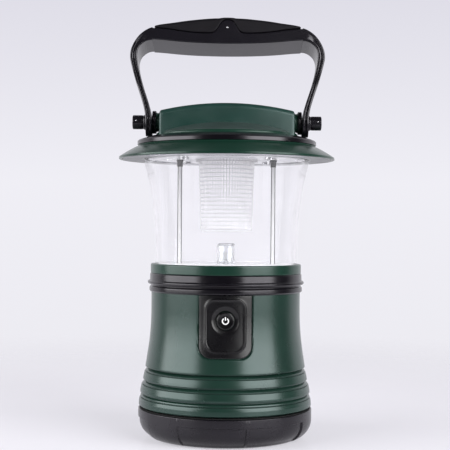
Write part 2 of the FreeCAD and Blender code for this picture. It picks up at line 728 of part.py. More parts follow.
# ------------------------------------------------------------- collar, ring and globe
COLLAR_WEB = 98.5  # top of the collar's inner flange
collar_r, collar_rib = dim.collar_r, dim.collar_rib_r
collar = spun("collar_blank", [
    (dim.waist_in - 0.1, 90.2), (dim.waist_in - 0.1, dim.shell_top),
    (collar_r - 0.5, dim.shell_top), (collar_r, 94.9), (collar_r, 97.5), (collar_r - 0.5, 98.1),
    (collar_r - 0.9, 98.3), (collar_r - 0.9, 99.1),
    (collar_rib - 0.4, 99.3), (collar_rib, 99.8), (collar_rib, 101.0), (collar_rib - 0.4, 101.5),
    (collar_r - 0.3, 101.8), (collar_r - 0.3, 105.2), (collar_r - 0.7, dim.ring_z),
    (dim.collar_in, dim.ring_z), (dim.collar_in, COLLAR_WEB), (28.0, COLLAR_WEB), (28.0, 96.0),
    (dim.collar_in, 96.0), (dim.collar_in, 90.2)])
node("collar_band", cut("collar_band", collar,
                        rods("collar_hole", deck_screw_places, SCREW_R, 6, 94)), "Collar band")
node("deck_screws", screws("deck_screw", "ds", deck_screw_places, (2.8, 1.8, COLLAR_WEB),
                           (SCREW_R, 9.5, DECK_SCREW_Z)), "Deck screws")
node("globe_ring", spun("globe_ring", [
    (dim.ring_in, dim.ring_z), (dim.ring_r - 0.2, dim.ring_z), (dim.ring_r, dim.ring_z + 0.3),
    (dim.ring_r, dim.ring_top - 1.3, (dim.ring_r - 0.38, dim.ring_top - 0.38)),
    (dim.ring_r - 1.3, dim.ring_top), (dim.ring_in, dim.ring_top)], dim.ring_z),
    "Globe retaining ring")
node("gasket_lower", spun("gasket_lower", [
    (dim.globe_low_r - 2.2, dim.ring_z), (dim.globe_low_r, dim.ring_z),
    (dim.globe_low_r, dim.globe_z), (dim.globe_low_r - 2.2, dim.globe_z)], dim.ring_z),
    "Lower globe gasket")

BULGE_Z, SHOULDER_Z = 132.6, 176.8  # ends of the curved part of the globe
bulge_r = dim.globe_low_r + 0.4
globe_top_in = dim.globe_top_r - dim.globe_t
globe_low_in = dim.globe_low_r - dim.globe_t
node("globe", spun("globe", [
    (dim.globe_low_r, dim.globe_z), (dim.globe_low_r, dim.ring_top),
    (bulge_r, BULGE_Z, (50.1, 161.3)), (dim.globe_top_r, SHOULDER_Z),
    (dim.globe_top_r, dim.globe_top), (globe_top_in, dim.globe_top),
    (globe_top_in, SHOULDER_Z, (48.0, 161.3)), (bulge_r - dim.globe_t, BULGE_Z),
    (globe_low_in, dim.ring_top), (globe_low_in, dim.globe_z)], dim.globe_z), "Clear globe")

# ------------------------------------------------------------ deck, lamp and diffuser
rod_places = [(dim.rod_x * sign, 0) for sign in (-1, 1)]
deck_under = dim.deck_top - 1.8
tube_hole_r = dim.tube_r + 0.05
deck = spun("deck_blank", [
    (tube_hole_r, dim.deck_top), (dim.deck_r, dim.deck_top), (dim.deck_r, dim.deck_top - 2.0),
    (43.2, dim.deck_top - 2.0), (43.2, COLLAR_WEB), (41.4, COLLAR_WEB),
    (41.4, deck_under), (tube_hole_r, deck_under)])
node("deck_reflector", cut("deck_reflector", deck, rods(
    "deck_rod_hole", rod_places, dim.rod_r, 10, dim.deck_top - 6)), "White deck reflector")
node("led_board", cut("led_board", rod("led_disc", 14.0, 1.6, 0, 0, dim.deck_top - 3.4), [
    rod("wire_hole_a", 0.8, 4, -9, 0, dim.deck_top - 5),
    rod("wire_hole_b", 0.8, 4, 9, 0, dim.deck_top - 5)]), "LED board")

LED_Z = 113.8  # underside of the LED
lamp = rod("lamp_body", 2.5, dim.led_top - LED_Z, 0, 0, LED_Z)
node("led_lamp", rounded(
    "lamp_dome", lamp, lambda edge: abs(edge.BoundBox.ZMin - dim.led_top.value) < NEAR, 1.2),
    "LED lamp")
LEAD = 0.6  # side of the square leads
node("led_leads", group("led_leads", [
    box(f"lead_{i}", x - LEAD / 2, -LEAD / 2, deck_under, LEAD, LEAD, LED_Z - deck_under)
    for i, x in enumerate((-1.27, 1.27))]), "LED leads")
node("led_tube", spun("led_tube", [
    (4.9, deck_under), (dim.tube_r, deck_under),
    (dim.tube_r, dim.tube_top - 1.2, (dim.tube_r - 0.35, dim.tube_top - 0.35)),
    (dim.tube_r - 1.2, dim.tube_top), (0, dim.tube_top), (0, dim.tube_top - 1.1),
    (4.9, dim.tube_top - 1.1)], deck_under), "Clear LED tube")

ceiling_top = dim.ceiling_z + dim.ceiling_t
rod_z = dim.deck_top - 4.6
node("support_rods", group("support_rods", rods(
    "support_rod", rod_places, dim.rod_r, 184.4 - rod_z, rod_z)), "Support rods")
nuts, sockets = [], []
for i, (x, y) in enumerate(rod_places):
    for k, z in enumerate((dim.deck_top - 4.4, ceiling_top)):
        nuts.append(cut(f"nut_{i}_{k}", hexagon(f"hex_{i}_{k}", 4.0, 2.6, x, y, z),
                        rod(f"nut_bore_{i}_{k}", dim.rod_r, 6, x, y, z - 1)))
    sockets.append(cut(f"socket_{i}",
                       cone(f"socket_out_{i}", 3.0, 3.8, 4.4, x, y, dim.ceiling_z - 4.4),
                       rod(f"socket_bore_{i}", dim.rod_r, 8, x, y, dim.ceiling_z - 6)))
node("rod_nuts", group("rod_nuts", nuts), "Rod nuts")
node("rod_sockets", group("rod_sockets", sockets), "Rod sockets")

# Prism diffuser: sawtooth rings outside, plain inside, closed at the bottom
PRISM_RINGS = 16
teeth = []
for k in range(PRISM_RINGS):
    tooth_z = dim.prism_z + 1.6 + dim.prism_pitch * k
    spread = (dim.prism_top_r - dim.prism_low_r) * (k / PRISM_RINGS)
    teeth += [(dim.prism_low_r - 0.45 + spread, tooth_z),
              (dim.prism_low_r + spread, tooth_z + dim.prism_pitch * 0.35)]
node("prism_diffuser", spun("prism_diffuser", [
    (0, dim.prism_z), (dim.prism_low_r - 1.0, dim.prism_z),
    (dim.prism_low_r - 0.2, dim.prism_z + 0.7)] + teeth + [
    (dim.prism_top_r, dim.ceiling_z - 1.6), (20.2, dim.ceiling_z - 1.5),
    (20.2, dim.ceiling_z), (dim.prism_top_r - 2.4, dim.ceiling_z),
    (dim.prism_low_r - 2.4, dim.prism_z + 1.8), (0, dim.prism_z + 1.8)], dim.prism_z),
    "Hanging prism diffuser")

# ----------------------------------------------------------------------------- canopy
slot_low, slot_high = dim.ceiling_z - 2, dim.ceiling_z + 4
slot_outline = [(47.2, slot_low), (49.4, slot_low), (49.4, slot_high), (47.2, slot_high)]
slots = [arc_piece(f"slot_{i}", slot_outline, -109.0 + 60 * i, 38) for i in range(6)]
canopy_places = [polar(38.0, 45 + 90 * i) for i in range(4)]
node("top_reflector", cut(
    "top_reflector", rod("ceiling_blank", dim.ceiling_r, dim.ceiling_t, 0, 0, dim.ceiling_z),
    slots + rods("ceil_rod_hole", rod_places, dim.rod_r, 8, dim.ceiling_z - 3)
    + rods("ceil_screw_hole", canopy_places, SCREW_R, 8, dim.ceiling_z - 3)),
    "Slotted top reflector")
seat = dim.globe_top + 1.2  # top of the upper gasket
node("gasket_upper", spun("gasket_upper", [
    (globe_top_in, dim.globe_top), (dim.globe_top_r, dim.globe_top),
    (dim.globe_top_r, seat), (globe_top_in, seat)], dim.globe_top), "Upper globe gasket")

BRIM_LOW = 179.9   # underside of the brim
TRIM_TOP = 193.9   # top of the trim ring
# Outside of the dome, from the trim ring to the axis: radius, height
dome_outside = [
    (dim.trim_in, TRIM_TOP), (dim.trim_in - 0.5, 194.25), (47.6, 194.3),
    (dim.dome_r + 0.5, 194.9), (dim.dome_r, dim.dome_z - 0.4), (dim.dome_r - 0.5, dim.dome_z),
    (40.0, 199.1), (33.0, 201.1), (26.2, 202.6), (13.0, 204.6), (0, dim.dome_top)]
# Underside and edge of the brim, then its top up to the trim ring seat
brim = [
    (53.7, seat), (53.7, BRIM_LOW), (55.3, BRIM_LOW), (55.3, 183.8), (56.6, 186.0),
    (60.6, 184.7), (63.9, 182.8), (66.6, 181.1), (68.4, BRIM_LOW),
    (dim.brim_r - 0.4, BRIM_LOW), (dim.brim_r, 180.4), (dim.brim_r, dim.brim_z),
    (dim.brim_r - 0.5, 181.9), (68.0, 182.7), (65.4, 184.3), (61.9, 186.3),
    (dim.trim_r - 0.2, 188.2), (dim.trim_r - 0.3, dim.trim_z), (dim.trim_in, dim.trim_z)]
# Inside of the canopy, from the axis down to the seat
dome_inside = [
    (0, dim.dome_top - 2.2), (13.0, 202.4), (26.0, 200.4), (33.0, 198.9), (39.5, 196.9),
    (43.9, 195.3), (44.6, 192.6), (49.2, 191.8), (49.5, 187.0), (49.5, seat)]
canopy = spun("canopy_blank", brim + dome_outside + dome_inside)
bosses = rods("boss", canopy_places, 4.0, 198.0 - ceiling_top, ceiling_top)
boss_bores = rods("boss_bore", canopy_places, SCREW_R, 10.4, ceiling_top - 0.4)
CROWN_PLACES = [(x, y) for x in (-24, 24) for y in (-14, 14)]
crown_holes = rods("crown_hole", CROWN_PLACES, SCREW_R, 12, 196.0)
node("canopy", cut("canopy", fuse("canopy_full", [canopy] + bosses), boss_bores + crown_holes),
     "Brimmed canopy")
node("canopy_screws", screws("canopy_screw", "cs", canopy_places,
                             (2.9, 1.3, dim.ceiling_z - 1.3),
                             (SCREW_R, 11.0, dim.ceiling_z - 0.2)), "Canopy screws")
node("brim_liner", spun("brim_liner", [
    (55.4, BRIM_LOW), (68.2, BRIM_LOW), (67.4, 180.4), (66.0, 180.8), (55.4, 180.8)]),
    "Brim liner")
node("trim_ring", spun("trim_ring", [
    (dim.trim_in, dim.trim_z), (dim.trim_r, dim.trim_z), (dim.trim_r, 191.5),
    (dim.trim_r - 0.5, 192.1), (52.6, 193.8), (dim.trim_in, TRIM_TOP)], dim.trim_z),
    "Trim ring")

# ------------------------------------------------------------------------------ crown
# Outer block: a front outline with an arched top, trimmed to a plan with bowed faces
CROWN_END_Z = 209.87  # height of the arched top at the ends
crown_block = padded("crown_block", "XZ_Plane", [
    (-dim.crown_x, 190.0), (dim.crown_x, 190.0),
    (dim.crown_x, CROWN_END_Z, (0, dim.crown_top)), (-dim.crown_x, CROWN_END_Z)],
    dim.crown_y * 2)
edge_y = dim.crown_y - dim.crown_bow
face_x, face_y = dim.crown_x - 1.8, edge_y + 0.22   # where the bowed faces end
end_y = edge_y - 1.7                                # where the flat ends end
mid_x, mid_y = dim.crown_x - 0.47, edge_y - 0.4     # middle of the rounded corners
crown_plan = padded("crown_plan", "XY_Plane", [
    (-face_x, -face_y, (0, -dim.crown_y)), (face_x, -face_y, (mid_x, -mid_y)),
    (dim.crown_x, -end_y), (dim.crown_x, end_y, (mid_x, mid_y)),
    (face_x, face_y, (0, dim.crown_y)), (-face_x, face_y, (-mid_x, mid_y)),
    (-dim.crown_x, end_y), (-dim.crown_x, -end_y, (-mid_x, -mid_y))], 40, (0, 0, 203.0))
crown_soft = common("crown_soft", [crown_block, crown_plan])
hollow_x = dim.crown_x - dim.crown_wall
crown_hollow = padded("crown_hollow", "XZ_Plane", [
    (-hollow_x, 188.0), (hollow_x, 188.0),
    (hollow_x, 207.3, (0, dim.crown_top - 3.0)), (-hollow_x, 207.3)],
    (edge_y - dim.crown_wall) * 2)
crown_shell = cut("crown_shell", crown_soft, crown_hollow)

# Everything below the outside of the dome
dome_tool = spun("dome_tool", [(0, 180.0), (60, 180.0), (60, TRIM_TOP)] + dome_outside)
HUB_START = 28.0  # inner end of the hubs inside the crown
hubs = side_rods("hub", dim.hub_r, dim.hub_x - dim.crown_x + 0.5, dim.crown_x - 0.5,
                 dim.pivot_z)
inner_hubs = side_rods("hub_in", 5.2, dim.crown_x - HUB_START - 1.0, HUB_START, dim.pivot_z)
crown_bosses = rods("crown_boss", CROWN_PLACES, 3.6, 16.0, 196.5)
crown_full = fuse("crown_full", [crown_shell] + hubs + inner_hubs + crown_bosses, refine=False)
axle_bores = side_rods("axle_bore", dim.axle_r + dim.axle_gap, 22, 29.0, dim.pivot_z)
crown_bores = rods("crown_boss_bore", CROWN_PLACES, SCREW_R, 12, 196.0)
node("crown_bar", cut("crown_bar", crown_full, [dome_tool] + axle_bores + crown_bores),
     "Crown bar with pivot hubs")
node("crown_screws", screws("crown_screw", "crs", CROWN_PLACES, (2.8, 2.0, 196.9),
                            (SCREW_R, 9.6, 198.2)), "Crown screws")

# ----------------------------------------------------------------------------- handle
# Drawn upright about the pivot line and then leaned back by one bound rotation.
# Right half in front view, heights above the pivot: x, height
HANDLE_OUTSIDE = [
    (60.4, 27.5), (61.9, 32.8), (62.9, 37.3), (63.3, 41.3), (62.8, 45.4), (61.3, 49.5),
    (59.2, 53.6), (57.0, 56.2), (54.2, 58.6), (49.6, 61.0)]
# Joint between the frame and the grip pad, from the corner to the middle
GRIP_SEAM = [
    (48.6, 60.5), (43.4, 60.2), (36.8, 59.4), (30.4, 58.4), (23.8, 57.6), (17.3, 57.2),
    (12.6, 57.1), (9.2, 57.7), (7.0, 59.9), (4.4, 64.2), (1.4, 66.1)]
# Inner edge, from beside the middle down to the arm
HANDLE_INSIDE = [
    (17.3, 49.9), (30.3, 50.6), (43.2, 51.8), (49.5, 52.2), (54.0, 50.9), (56.3, 49.2),
    (58.2, 46.4), (58.9, 42.5), (58.4, 37.3), (57.1, 31.9), (55.4, 25.2), (53.5, 18.5),
    (51.3, 11.8)]
# Top of the grip pad, from beside the middle to the corner
GRIP_TOP = [
    (8.2, 67.75), (17.9, 67.05), (23.1, 66.5), (28.4, 65.8), (33.6, 64.95), (38.9, 64.0),
    (44.1, 63.0), (48.2, 61.3)]
right_outside = [
    (dim.arm_in, -9.4), (dim.arm_out, -9.4), (dim.arm_out, 2.0), (dim.arm_out + 0.9, 6.5),
    (55.4, 13.1), (57.3, 19.1)] + HANDLE_OUTSIDE + GRIP_SEAM
right_inside = HANDLE_INSIDE + [(dim.arm_in, 1.5)]
handle_blank = padded(
    "handle_blank", "XZ_Plane",
    right_outside + mirrored(right_outside) + mirrored(right_inside) + [(0, 49.6)]
    + right_inside, dim.handle_half * 2)

# Side view: y, height; the foot of the arm is a half circle about the pivot
COS_45 = 0.70710678
arm_half, handle_half = dim.arm_half, dim.handle_half
eighth = arm_half * COS_45
back_edge = [
    (arm_half, 21.0), (arm_half + 1.2, 26.0), (handle_half - 0.4, 32.0), (handle_half, 37.0),
    (handle_half, 62.0), (handle_half - 0.8, 66.2), (handle_half - 2.2, 68.6)]
side_view = [
    (-arm_half, 0, (-eighth, -eighth)), (0, -arm_half, (eighth, -eighth)),
    (arm_half, 0)] + back_edge + mirrored(back_edge)
frame_side = padded("handle_side", "YZ_Plane", side_view, 140)
grip_side = padded("pad_side", "YZ_Plane", side_view, 140)

PIN_R, PIN_Z = 0.9, 61.0  # pin into the front of the grip
frame_raw = common("handle_raw", [handle_blank, frame_side])
arm_bores = side_rods("arm_bore", dim.axle_r, 12, 45)
pin_hole = rod("pin_hole", PIN_R, 4.0, 0, -handle_half - 1, PIN_Z, "y")
knob_seats = side_rods("knob_seat", dim.knob_r + 0.5, 5, dim.arm_out)
frame = cut("handle_frame", frame_raw, arm_bores + knob_seats + [pin_hole])
grip_blank = padded(
    "grip_blank", "XZ_Plane",
    GRIP_SEAM + mirrored(GRIP_SEAM) + mirrored(GRIP_TOP) + [(0, 68.0)] + GRIP_TOP,
    handle_half * 2)
grip = common("grip_pad", [grip_blank, grip_side])
grip_pin = rod("grip_pin", PIN_R, 3.4, 0, -handle_half - 0.4, PIN_Z, "y")


def leaned(name, obj, label):
    """Lean a piece back about the pivot line, lift it to the pivot and register it."""
    obj.Placement = turned((-1, 0, 0), dim.handle_lean.value)
    obj.setExpression(".Placement.Rotation.Angle", "Dims.handle_lean")
    obj.setExpression(".Placement.Base.z", "Dims.pivot_z")
    node(name, obj, label)


leaned("handle_frame", frame, "Handle frame")
leaned("grip_pad", grip, "Soft grip pad")
leaned("grip_pin", group("grip_pin_set", [grip_pin]), "Grip pin")

# Cupped washers over the ends of the hubs
washer_x = dim.hub_x - 1.3
washers = []
for k, (side, sign, along) in enumerate(SIDES):
    washers.append(cut(
        f"washer_{k}",
        rod(f"washer_out_{k}", dim.washer_r, dim.arm_in - washer_x, washer_x * sign, 0, 0, along),
        [rod(f"washer_in_{k}", dim.axle_r, 6, (dim.hub_x - 2) * sign, 0, 0, along),
         rod(f"washer_cup_{k}", dim.hub_r + 0.1, 3.0, (dim.hub_x - 3.0) * sign, 0, 0, along)]))
leaned("pivot_washers", group("pivot_washers", washers), "Pivot washers")

# Knobs with their axles, each crossed by a pin
CROSS_R = 0.8
AXLE_START = 35.0
cross_x = dim.knob_x - 2.6
cross_pins = []
for k, (side, sign, along) in enumerate(SIDES):
    head = rod(f"knob_head_{side}", dim.knob_r, dim.knob_x - dim.arm_out,
               dim.arm_out * sign, 0, 0, along)
    knob = rounded(f"knob_soft_{side}", head,
                   lambda edge: abs(abs(edge.CenterOfMass.x) - dim.knob_x.value) < NEAR
                   and edge.BoundBox.XLength < NEAR, 1.2)
    axle = rod(f"axle_{side}", dim.axle_r, dim.arm_out - AXLE_START + 1.0,
               AXLE_START * sign, 0, 0, along)
    cross_bore = rod(f"knob_bore_{side}", CROSS_R, 20, cross_x * sign, -10, 0, "y")
    leaned(f"pivot_knob_{side}",
           cut(f"pivot_knob_{side}", fuse(f"knob_full_{side}", [knob, axle]), cross_bore),
           f"Pivot knob, {side}")
    cross_pins.append(rod(f"knob_pin_{k}", CROSS_R, dim.knob_r * 2 + 0.4,
                          cross_x * sign, -dim.knob_r - 0.2, 0, "y"))
leaned("knob_pins", group("knob_pins", cross_pins), "Knob cross pins")

# ------------------------------------------------------------------------------ wires
WIRE_R = 0.7
WIRE_DECK = 112.8             # deck height the wire points are measured for
LED_UNDER = WIRE_DECK - 3.4   # underside of the LED board at that height
# x, y, z along each wire: two from the LED board, one from the switch board
WIRES = [
    [(-9, 0, LED_UNDER - 0.2), (-9, 0, LED_UNDER - 4), (-8, 7, 100), (-9, 13, 94),
     (-9, 13, 91.8)],
    [(9, 0, LED_UNDER - 0.2), (9, 0, LED_UNDER - 4), (14, -5, 101), (14, -9, 95),
     (14, -9, 91.8)],
    [(-6, -37.2, 86.2), (-6, -37.4, 88), (-6, -31, 91), (-6, -23, 94), (-6, -19, 93),
     (-6, -19, 91.8)],
]
lead_wires = doc.addObject("Part::Feature", "lead_wires")
lead_wires.Shape = Part.makeCompound([sweep(points, WIRE_R) for points in WIRES])
bind(lead_wires, ".Placement.Base.z", dim.deck_top - WIRE_DECK)
node("lead_wires", lead_wires, "Lead wires")

# ------------------------------------------------------------------ checks and export
doc.recompute()
failed = [obj for obj in doc.Objects if "Invalid" in obj.State or "Error" in obj.State]
if failed:
    raise SystemExit("objects in error: " + ", ".join(
        f"{obj.Name} ({obj.getStatusString()})" for obj in failed))
for name, obj in NODES.items():
    shape = obj.Shape
    if shape.isNull() or not shape.isValid() or not shape.Solids:
        raise SystemExit(f"{name}: no valid solid")
    for solid in shape.Solids:
        if solid.Volume <= 0 or not solid.isClosed():
            raise SystemExit(f"{name}: solid is not closed")
    shape.exportStep(f"parts/{name}.step")
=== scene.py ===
"""Camping lantern: battery base, ribbed housing, clear globe, canopy and a bow handle.

The lantern stands on z = 0 with its axis on +Z.  The switch panel faces the front (-Y) and
+X is to the right.  The handle turns about a left-right line through the crown and leans back.
Outlines are in millimetres; build() turns them into metres.
"""

import math

import bpy
import bmesh
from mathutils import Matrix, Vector


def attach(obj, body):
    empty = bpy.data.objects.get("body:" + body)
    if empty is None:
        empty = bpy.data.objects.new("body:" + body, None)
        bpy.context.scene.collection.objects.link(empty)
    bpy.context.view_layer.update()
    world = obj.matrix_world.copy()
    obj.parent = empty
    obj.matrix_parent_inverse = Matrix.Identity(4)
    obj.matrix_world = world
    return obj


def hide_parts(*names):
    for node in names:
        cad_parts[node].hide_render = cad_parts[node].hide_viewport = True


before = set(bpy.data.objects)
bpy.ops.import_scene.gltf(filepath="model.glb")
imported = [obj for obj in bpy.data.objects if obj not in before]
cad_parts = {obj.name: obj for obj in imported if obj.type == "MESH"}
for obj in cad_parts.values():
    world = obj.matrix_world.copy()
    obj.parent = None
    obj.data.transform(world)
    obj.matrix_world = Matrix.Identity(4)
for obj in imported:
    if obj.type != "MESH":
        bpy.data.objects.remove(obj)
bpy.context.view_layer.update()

MM = 0.001
PIVOT_Z = 204.3                   # height of the handle's turning line
HANDLE_LEAN = math.radians(10.0)
BUTTON_Z = 78.6
PANEL_HALF_WIDTH, PANEL_BOTTOM, PANEL_CORNER = 16.2, 55.7, 7.0
ROD_X = 30.5
PRISM_START, PRISM_PITCH, PRISM_FLUTES = 134.6, 2.6, 60   # first ring, ring spacing, flutes round


# ------------------------------------------------------------------------ maths helpers
def lerp(a, b, t):
    return a + (b - a) * t


def smoothstep(start, end, x):
    t = min(1.0, max(0.0, (x - start) / (end - start)))
    return t * t * (3 - 2 * t)


def piecewise(table):
    """Straight-line function through (x, y) pairs."""
    def value(x):
        if x <= table[0][0]:
            return table[0][1]
        for (x0, y0), (x1, y1) in zip(table, table[1:]):
            if x <= x1:
                return lerp(y0, y1, (x - x0) / (x1 - x0))
        return table[-1][1]
    return value


def spline(points, per=6):
    """Catmull-Rom through points of any dimension, ends kept; per = steps in each span."""
    out = []
    last = len(points) - 1
    for i in range(last):
        around = (points[max(i - 1, 0)], points[i], points[i + 1], points[min(i + 2, last)])
        for k in range(per):
            t = k / per
            out.append(tuple(
                0.5 * (2 * b + (c - a) * t + (2 * a - 5 * b + 4 * c - d) * t * t
                       + (3 * b - a - 3 * c + d) * t ** 3)
                for a, b, c, d in zip(*around)))
    out.append(tuple(points[-1]))
    return out


def smooth_curve(points):
    """Smooth y(x) through points sorted by x."""
    return piecewise(spline(points, 10))


def mirrored_curve(half):
    """Smooth y(x), even about x = 0, from its points with x >= 0."""
    return smooth_curve([(-x, y) for x, y in reversed(half[1:])] + half)


def mirrored_stations(ends, count):
    """Listed stations at one end, count even steps across x = 0, the same ends mirrored."""
    last = ends[-1]
    middle = [last - 2 * last * k / count for k in range(1, count)]
    return ends + middle + [-x for x in reversed(ends)]


def soften(corners, steps=5):
    """Closed outline of corners (r, z[, corner radius]) with its corners rounded."""
    out = []
    for i, corner in enumerate(corners):
        radius = corner[2] if len(corner) > 2 else 0.0
        if radius <= 0:
            out.append(corner[:2])
            continue
        here = Vector(corner[:2])
        to_last = Vector(corners[i - 1][:2]) - here
        to_next = Vector(corners[(i + 1) % len(corners)][:2]) - here
        room = min(to_last.length, to_next.length) * 0.49
        to_last.normalize()
        to_next.normalize()
        angle = to_last.angle(to_next, math.pi)
        if angle > math.radians(178):
            out.append(corner[:2])
            continue
        cut = min(radius / math.tan(angle / 2), room)
        radius = cut * math.tan(angle / 2)
        centre = here + (to_last + to_next).normalized() * (radius / math.sin(angle / 2))
        start, end = here + to_last * cut - centre, here + to_next * cut - centre
        first = math.atan2(start.y, start.x)
        turn = (math.atan2(end.y, end.x) - first + math.pi) % (2 * math.pi) - math.pi
        for k in range(steps + 1):
            t = first + turn * k / steps
            out.append((centre.x + radius * math.cos(t), centre.y + radius * math.sin(t)))
    return out


def rounded_box(half_width, bottom, top, bottom_corner, top_corner):
    """Signed distance f(x, z) to a rounded rectangle centred on x = 0."""
    middle, half_height = (bottom + top) / 2, (top - bottom) / 2

    def distance(x, z):
        corner = bottom_corner if z < middle else top_corner
        dx = abs(x) - (half_width - corner)
        dz = abs(z - middle) - (half_height - corner)
        if dx > 0 and dz > 0:
            return math.hypot(dx, dz) - corner
        return max(dx, dz) - corner
    return distance


# ---------------------------------------------------- mesh helpers: a mesh is (verts, faces)
def turned(outline, seg=192, angles=None, push=None):
    """Closed outline (r, z) turned about Z, angle 0 at the front and rising to the right.

    push(angle, index, r, z) -> (r, z) shapes the surface locally.
    """
    if angles is None:
        angles = [2 * math.pi * k / seg for k in range(seg)]
    verts, faces, rings = [], [], []
    for i, (r, z) in enumerate(outline):
        if r < 1e-6:
            rings.append([len(verts)])
            verts.append((0, 0, z))
            continue
        rings.append(range(len(verts), len(verts) + len(angles)))
        for angle in angles:
            rr, zz = push(angle, i, r, z) if push else (r, z)
            verts.append((rr * math.sin(angle), -rr * math.cos(angle), zz))
    for i, low in enumerate(rings):
        high = rings[(i + 1) % len(rings)]
        if len(low) == 1 and len(high) == 1:
            continue
        for k in range(len(angles)):
            m = (k + 1) % len(angles)
            if len(low) == 1:
                faces.append((low[0], high[k], high[m]))
            elif len(high) == 1:
                faces.append((low[k], low[m], high[0]))
            else:
                faces.append((low[k], low[m], high[m], high[k]))
    return verts, faces


def loft(sections, closed=False):
    """Skin over closed sections of equal count: capped at both ends, or joined end to end."""
    size, count = len(sections[0]), len(sections)
    verts = [point for section in sections for point in section]
    faces = []
    for i in range(count if closed else count - 1):
        j = (i + 1) % count
        for a in range(size):
            b = (a + 1) % size
            faces.append((i * size + a, i * size + b, j * size + b, j * size + a))
    if not closed:
        faces.append(tuple(range(size)))
        faces.append(tuple(reversed(range((count - 1) * size, count * size))))
    return verts, faces


def moved(mesh, place):
    verts, faces = mesh
    return [place(*vert) for vert in verts], faces


def joined(*meshes):
    all_verts, all_faces = [], []
    for verts, faces in meshes:
        offset = len(all_verts)
        all_verts += verts
        all_faces += [tuple(i + offset for i in face) for face in faces]
    return all_verts, all_faces


def leaned(x, y, u):
    """From handle axes (u runs up the handle from the pivot line) to the lantern's."""
    return (x, y * math.cos(HANDLE_LEAN) + u * math.sin(HANDLE_LEAN),
            -y * math.sin(HANDLE_LEAN) + u * math.cos(HANDLE_LEAN) + PIVOT_Z)


def turned_on_pivot(outline, side, seg=96):
    """Outline (r, distance out from the middle) turned about the pivot line."""
    return moved(turned(outline, seg), lambda x, y, z: (z * side, x, y + PIVOT_Z))


def build(name, mesh, material, sharp=40, weighted=True):
    """Object from a millimetre mesh; edges over `sharp` degrees stay crisp."""
    verts, faces = mesh
    data = bpy.data.meshes.new(name)
    data.from_pydata([(x * MM, y * MM, z * MM) for x, y, z in verts], [], faces)
    bm = bmesh.new()
    bm.from_mesh(data)
    bmesh.ops.remove_doubles(bm, verts=bm.verts, dist=1e-7)
    bmesh.ops.dissolve_degenerate(bm, edges=bm.edges, dist=1e-7)
    bmesh.ops.recalc_face_normals(bm, faces=bm.faces)
    bm.to_mesh(data)
    bm.free()
    data.polygons.foreach_set("use_smooth", [True] * len(data.polygons))
    data.set_sharp_from_angle(angle=math.radians(sharp))
    data.materials.append(material)
    ob = bpy.data.objects.new(name, data)
    bpy.context.scene.collection.objects.link(ob)
    if weighted:
        modifier = ob.modifiers.new("Weighted", "WEIGHTED_NORMAL")
        modifier.keep_sharp = True
        modifier.weight = 50
    return ob


def register(ob, body, node):
    """Parent the object to the empty of the body that carries it, and hide the CAD piece it
    replaces.
    """
    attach(ob, body)
    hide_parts(node)


# ------------------------------------------------------------------------- node helpers
def set_inputs(tree, node, inputs):
    """Each input takes a value, or a link when it is given a socket."""
    for key, value in inputs.items():
        if isinstance(value, bpy.types.NodeSocket):
            tree.links.new(value, node.inputs[key])
        else:
            node.inputs[key].default_value = value


def add_node(tree, kind, inputs, **settings):
    node = tree.nodes.new("ShaderNode" + kind)
    for key, value in settings.items():
        setattr(node, key, value)
    set_inputs(tree, node, inputs)
    return node


def new_material(name):
    material = bpy.data.materials.new(name)
    material.use_nodes = True
    tree = material.node_tree
    tree.nodes.clear()
    output = add_node(tree, "OutputMaterial", {})
    shader = add_node(tree, "BsdfPrincipled", {})
    tree.links.new(shader.outputs[0], output.inputs[0])
    return material, tree, shader, output


def rgba(colour):
    """Four channels from a grey level or from red, green and blue."""
    if isinstance(colour, (int, float)):
        colour = (colour,) * 3
    return tuple(colour) + (1,)


def scaled(colour, factor):
    return tuple(c * factor for c in colour)


def coords(tree, scale=(1, 1, 1)):
    source = add_node(tree, "TexCoord", {})
    inputs = {"Scale": scale, "Vector": source.outputs["Object"]}
    return add_node(tree, "Mapping", inputs).outputs[0]


def axes(tree, space="Object"):
    source = add_node(tree, "TexCoord", {})
    return add_node(tree, "SeparateXYZ", {0: source.outputs[space]}).outputs


def noise(tree, vector, scale, detail=4, roughness=0.55):
    inputs = {"Scale": scale, "Detail": detail, "Roughness": roughness, "Vector": vector}
    return add_node(tree, "TexNoise", inputs).outputs["Fac"]


def ramp(tree, factor, *stops):
    """Colour ramp through stops (position, grey level or colour)."""
    node = add_node(tree, "ValToRGB", {0: factor})
    elements = node.color_ramp.elements
    for element, (position, colour) in ((elements[0], stops[0]), (elements[1], stops[-1])):
        element.position = position
        element.color = rgba(colour)
    for position, colour in stops[1:-1]:
        elements.new(position).color = rgba(colour)
    return node.outputs[0]


def compute(tree, operation, *operands):
    return add_node(tree, "Math", dict(enumerate(operands)), operation=operation).outputs[0]


def map_range(tree, value, start, end, to=(0.0, 1.0), kind="LINEAR"):
    inputs = {"From Min": start, "From Max": end, "To Min": to[0], "To Max": to[1],
              "Value": value}
    return add_node(tree, "MapRange", inputs, interpolation_type=kind).outputs[0]


def soft_step(tree, value, start, end):
    return map_range(tree, value, start, end, kind="SMOOTHSTEP")


def mix_colour(tree, factor, first, second):
    return add_node(tree, "Mix", {0: factor, 6: first, 7: second}, data_type="RGBA").outputs[2]


def facing(tree):
    return add_node(tree, "LayerWeight", {"Blend": 0.5}).outputs["Facing"]


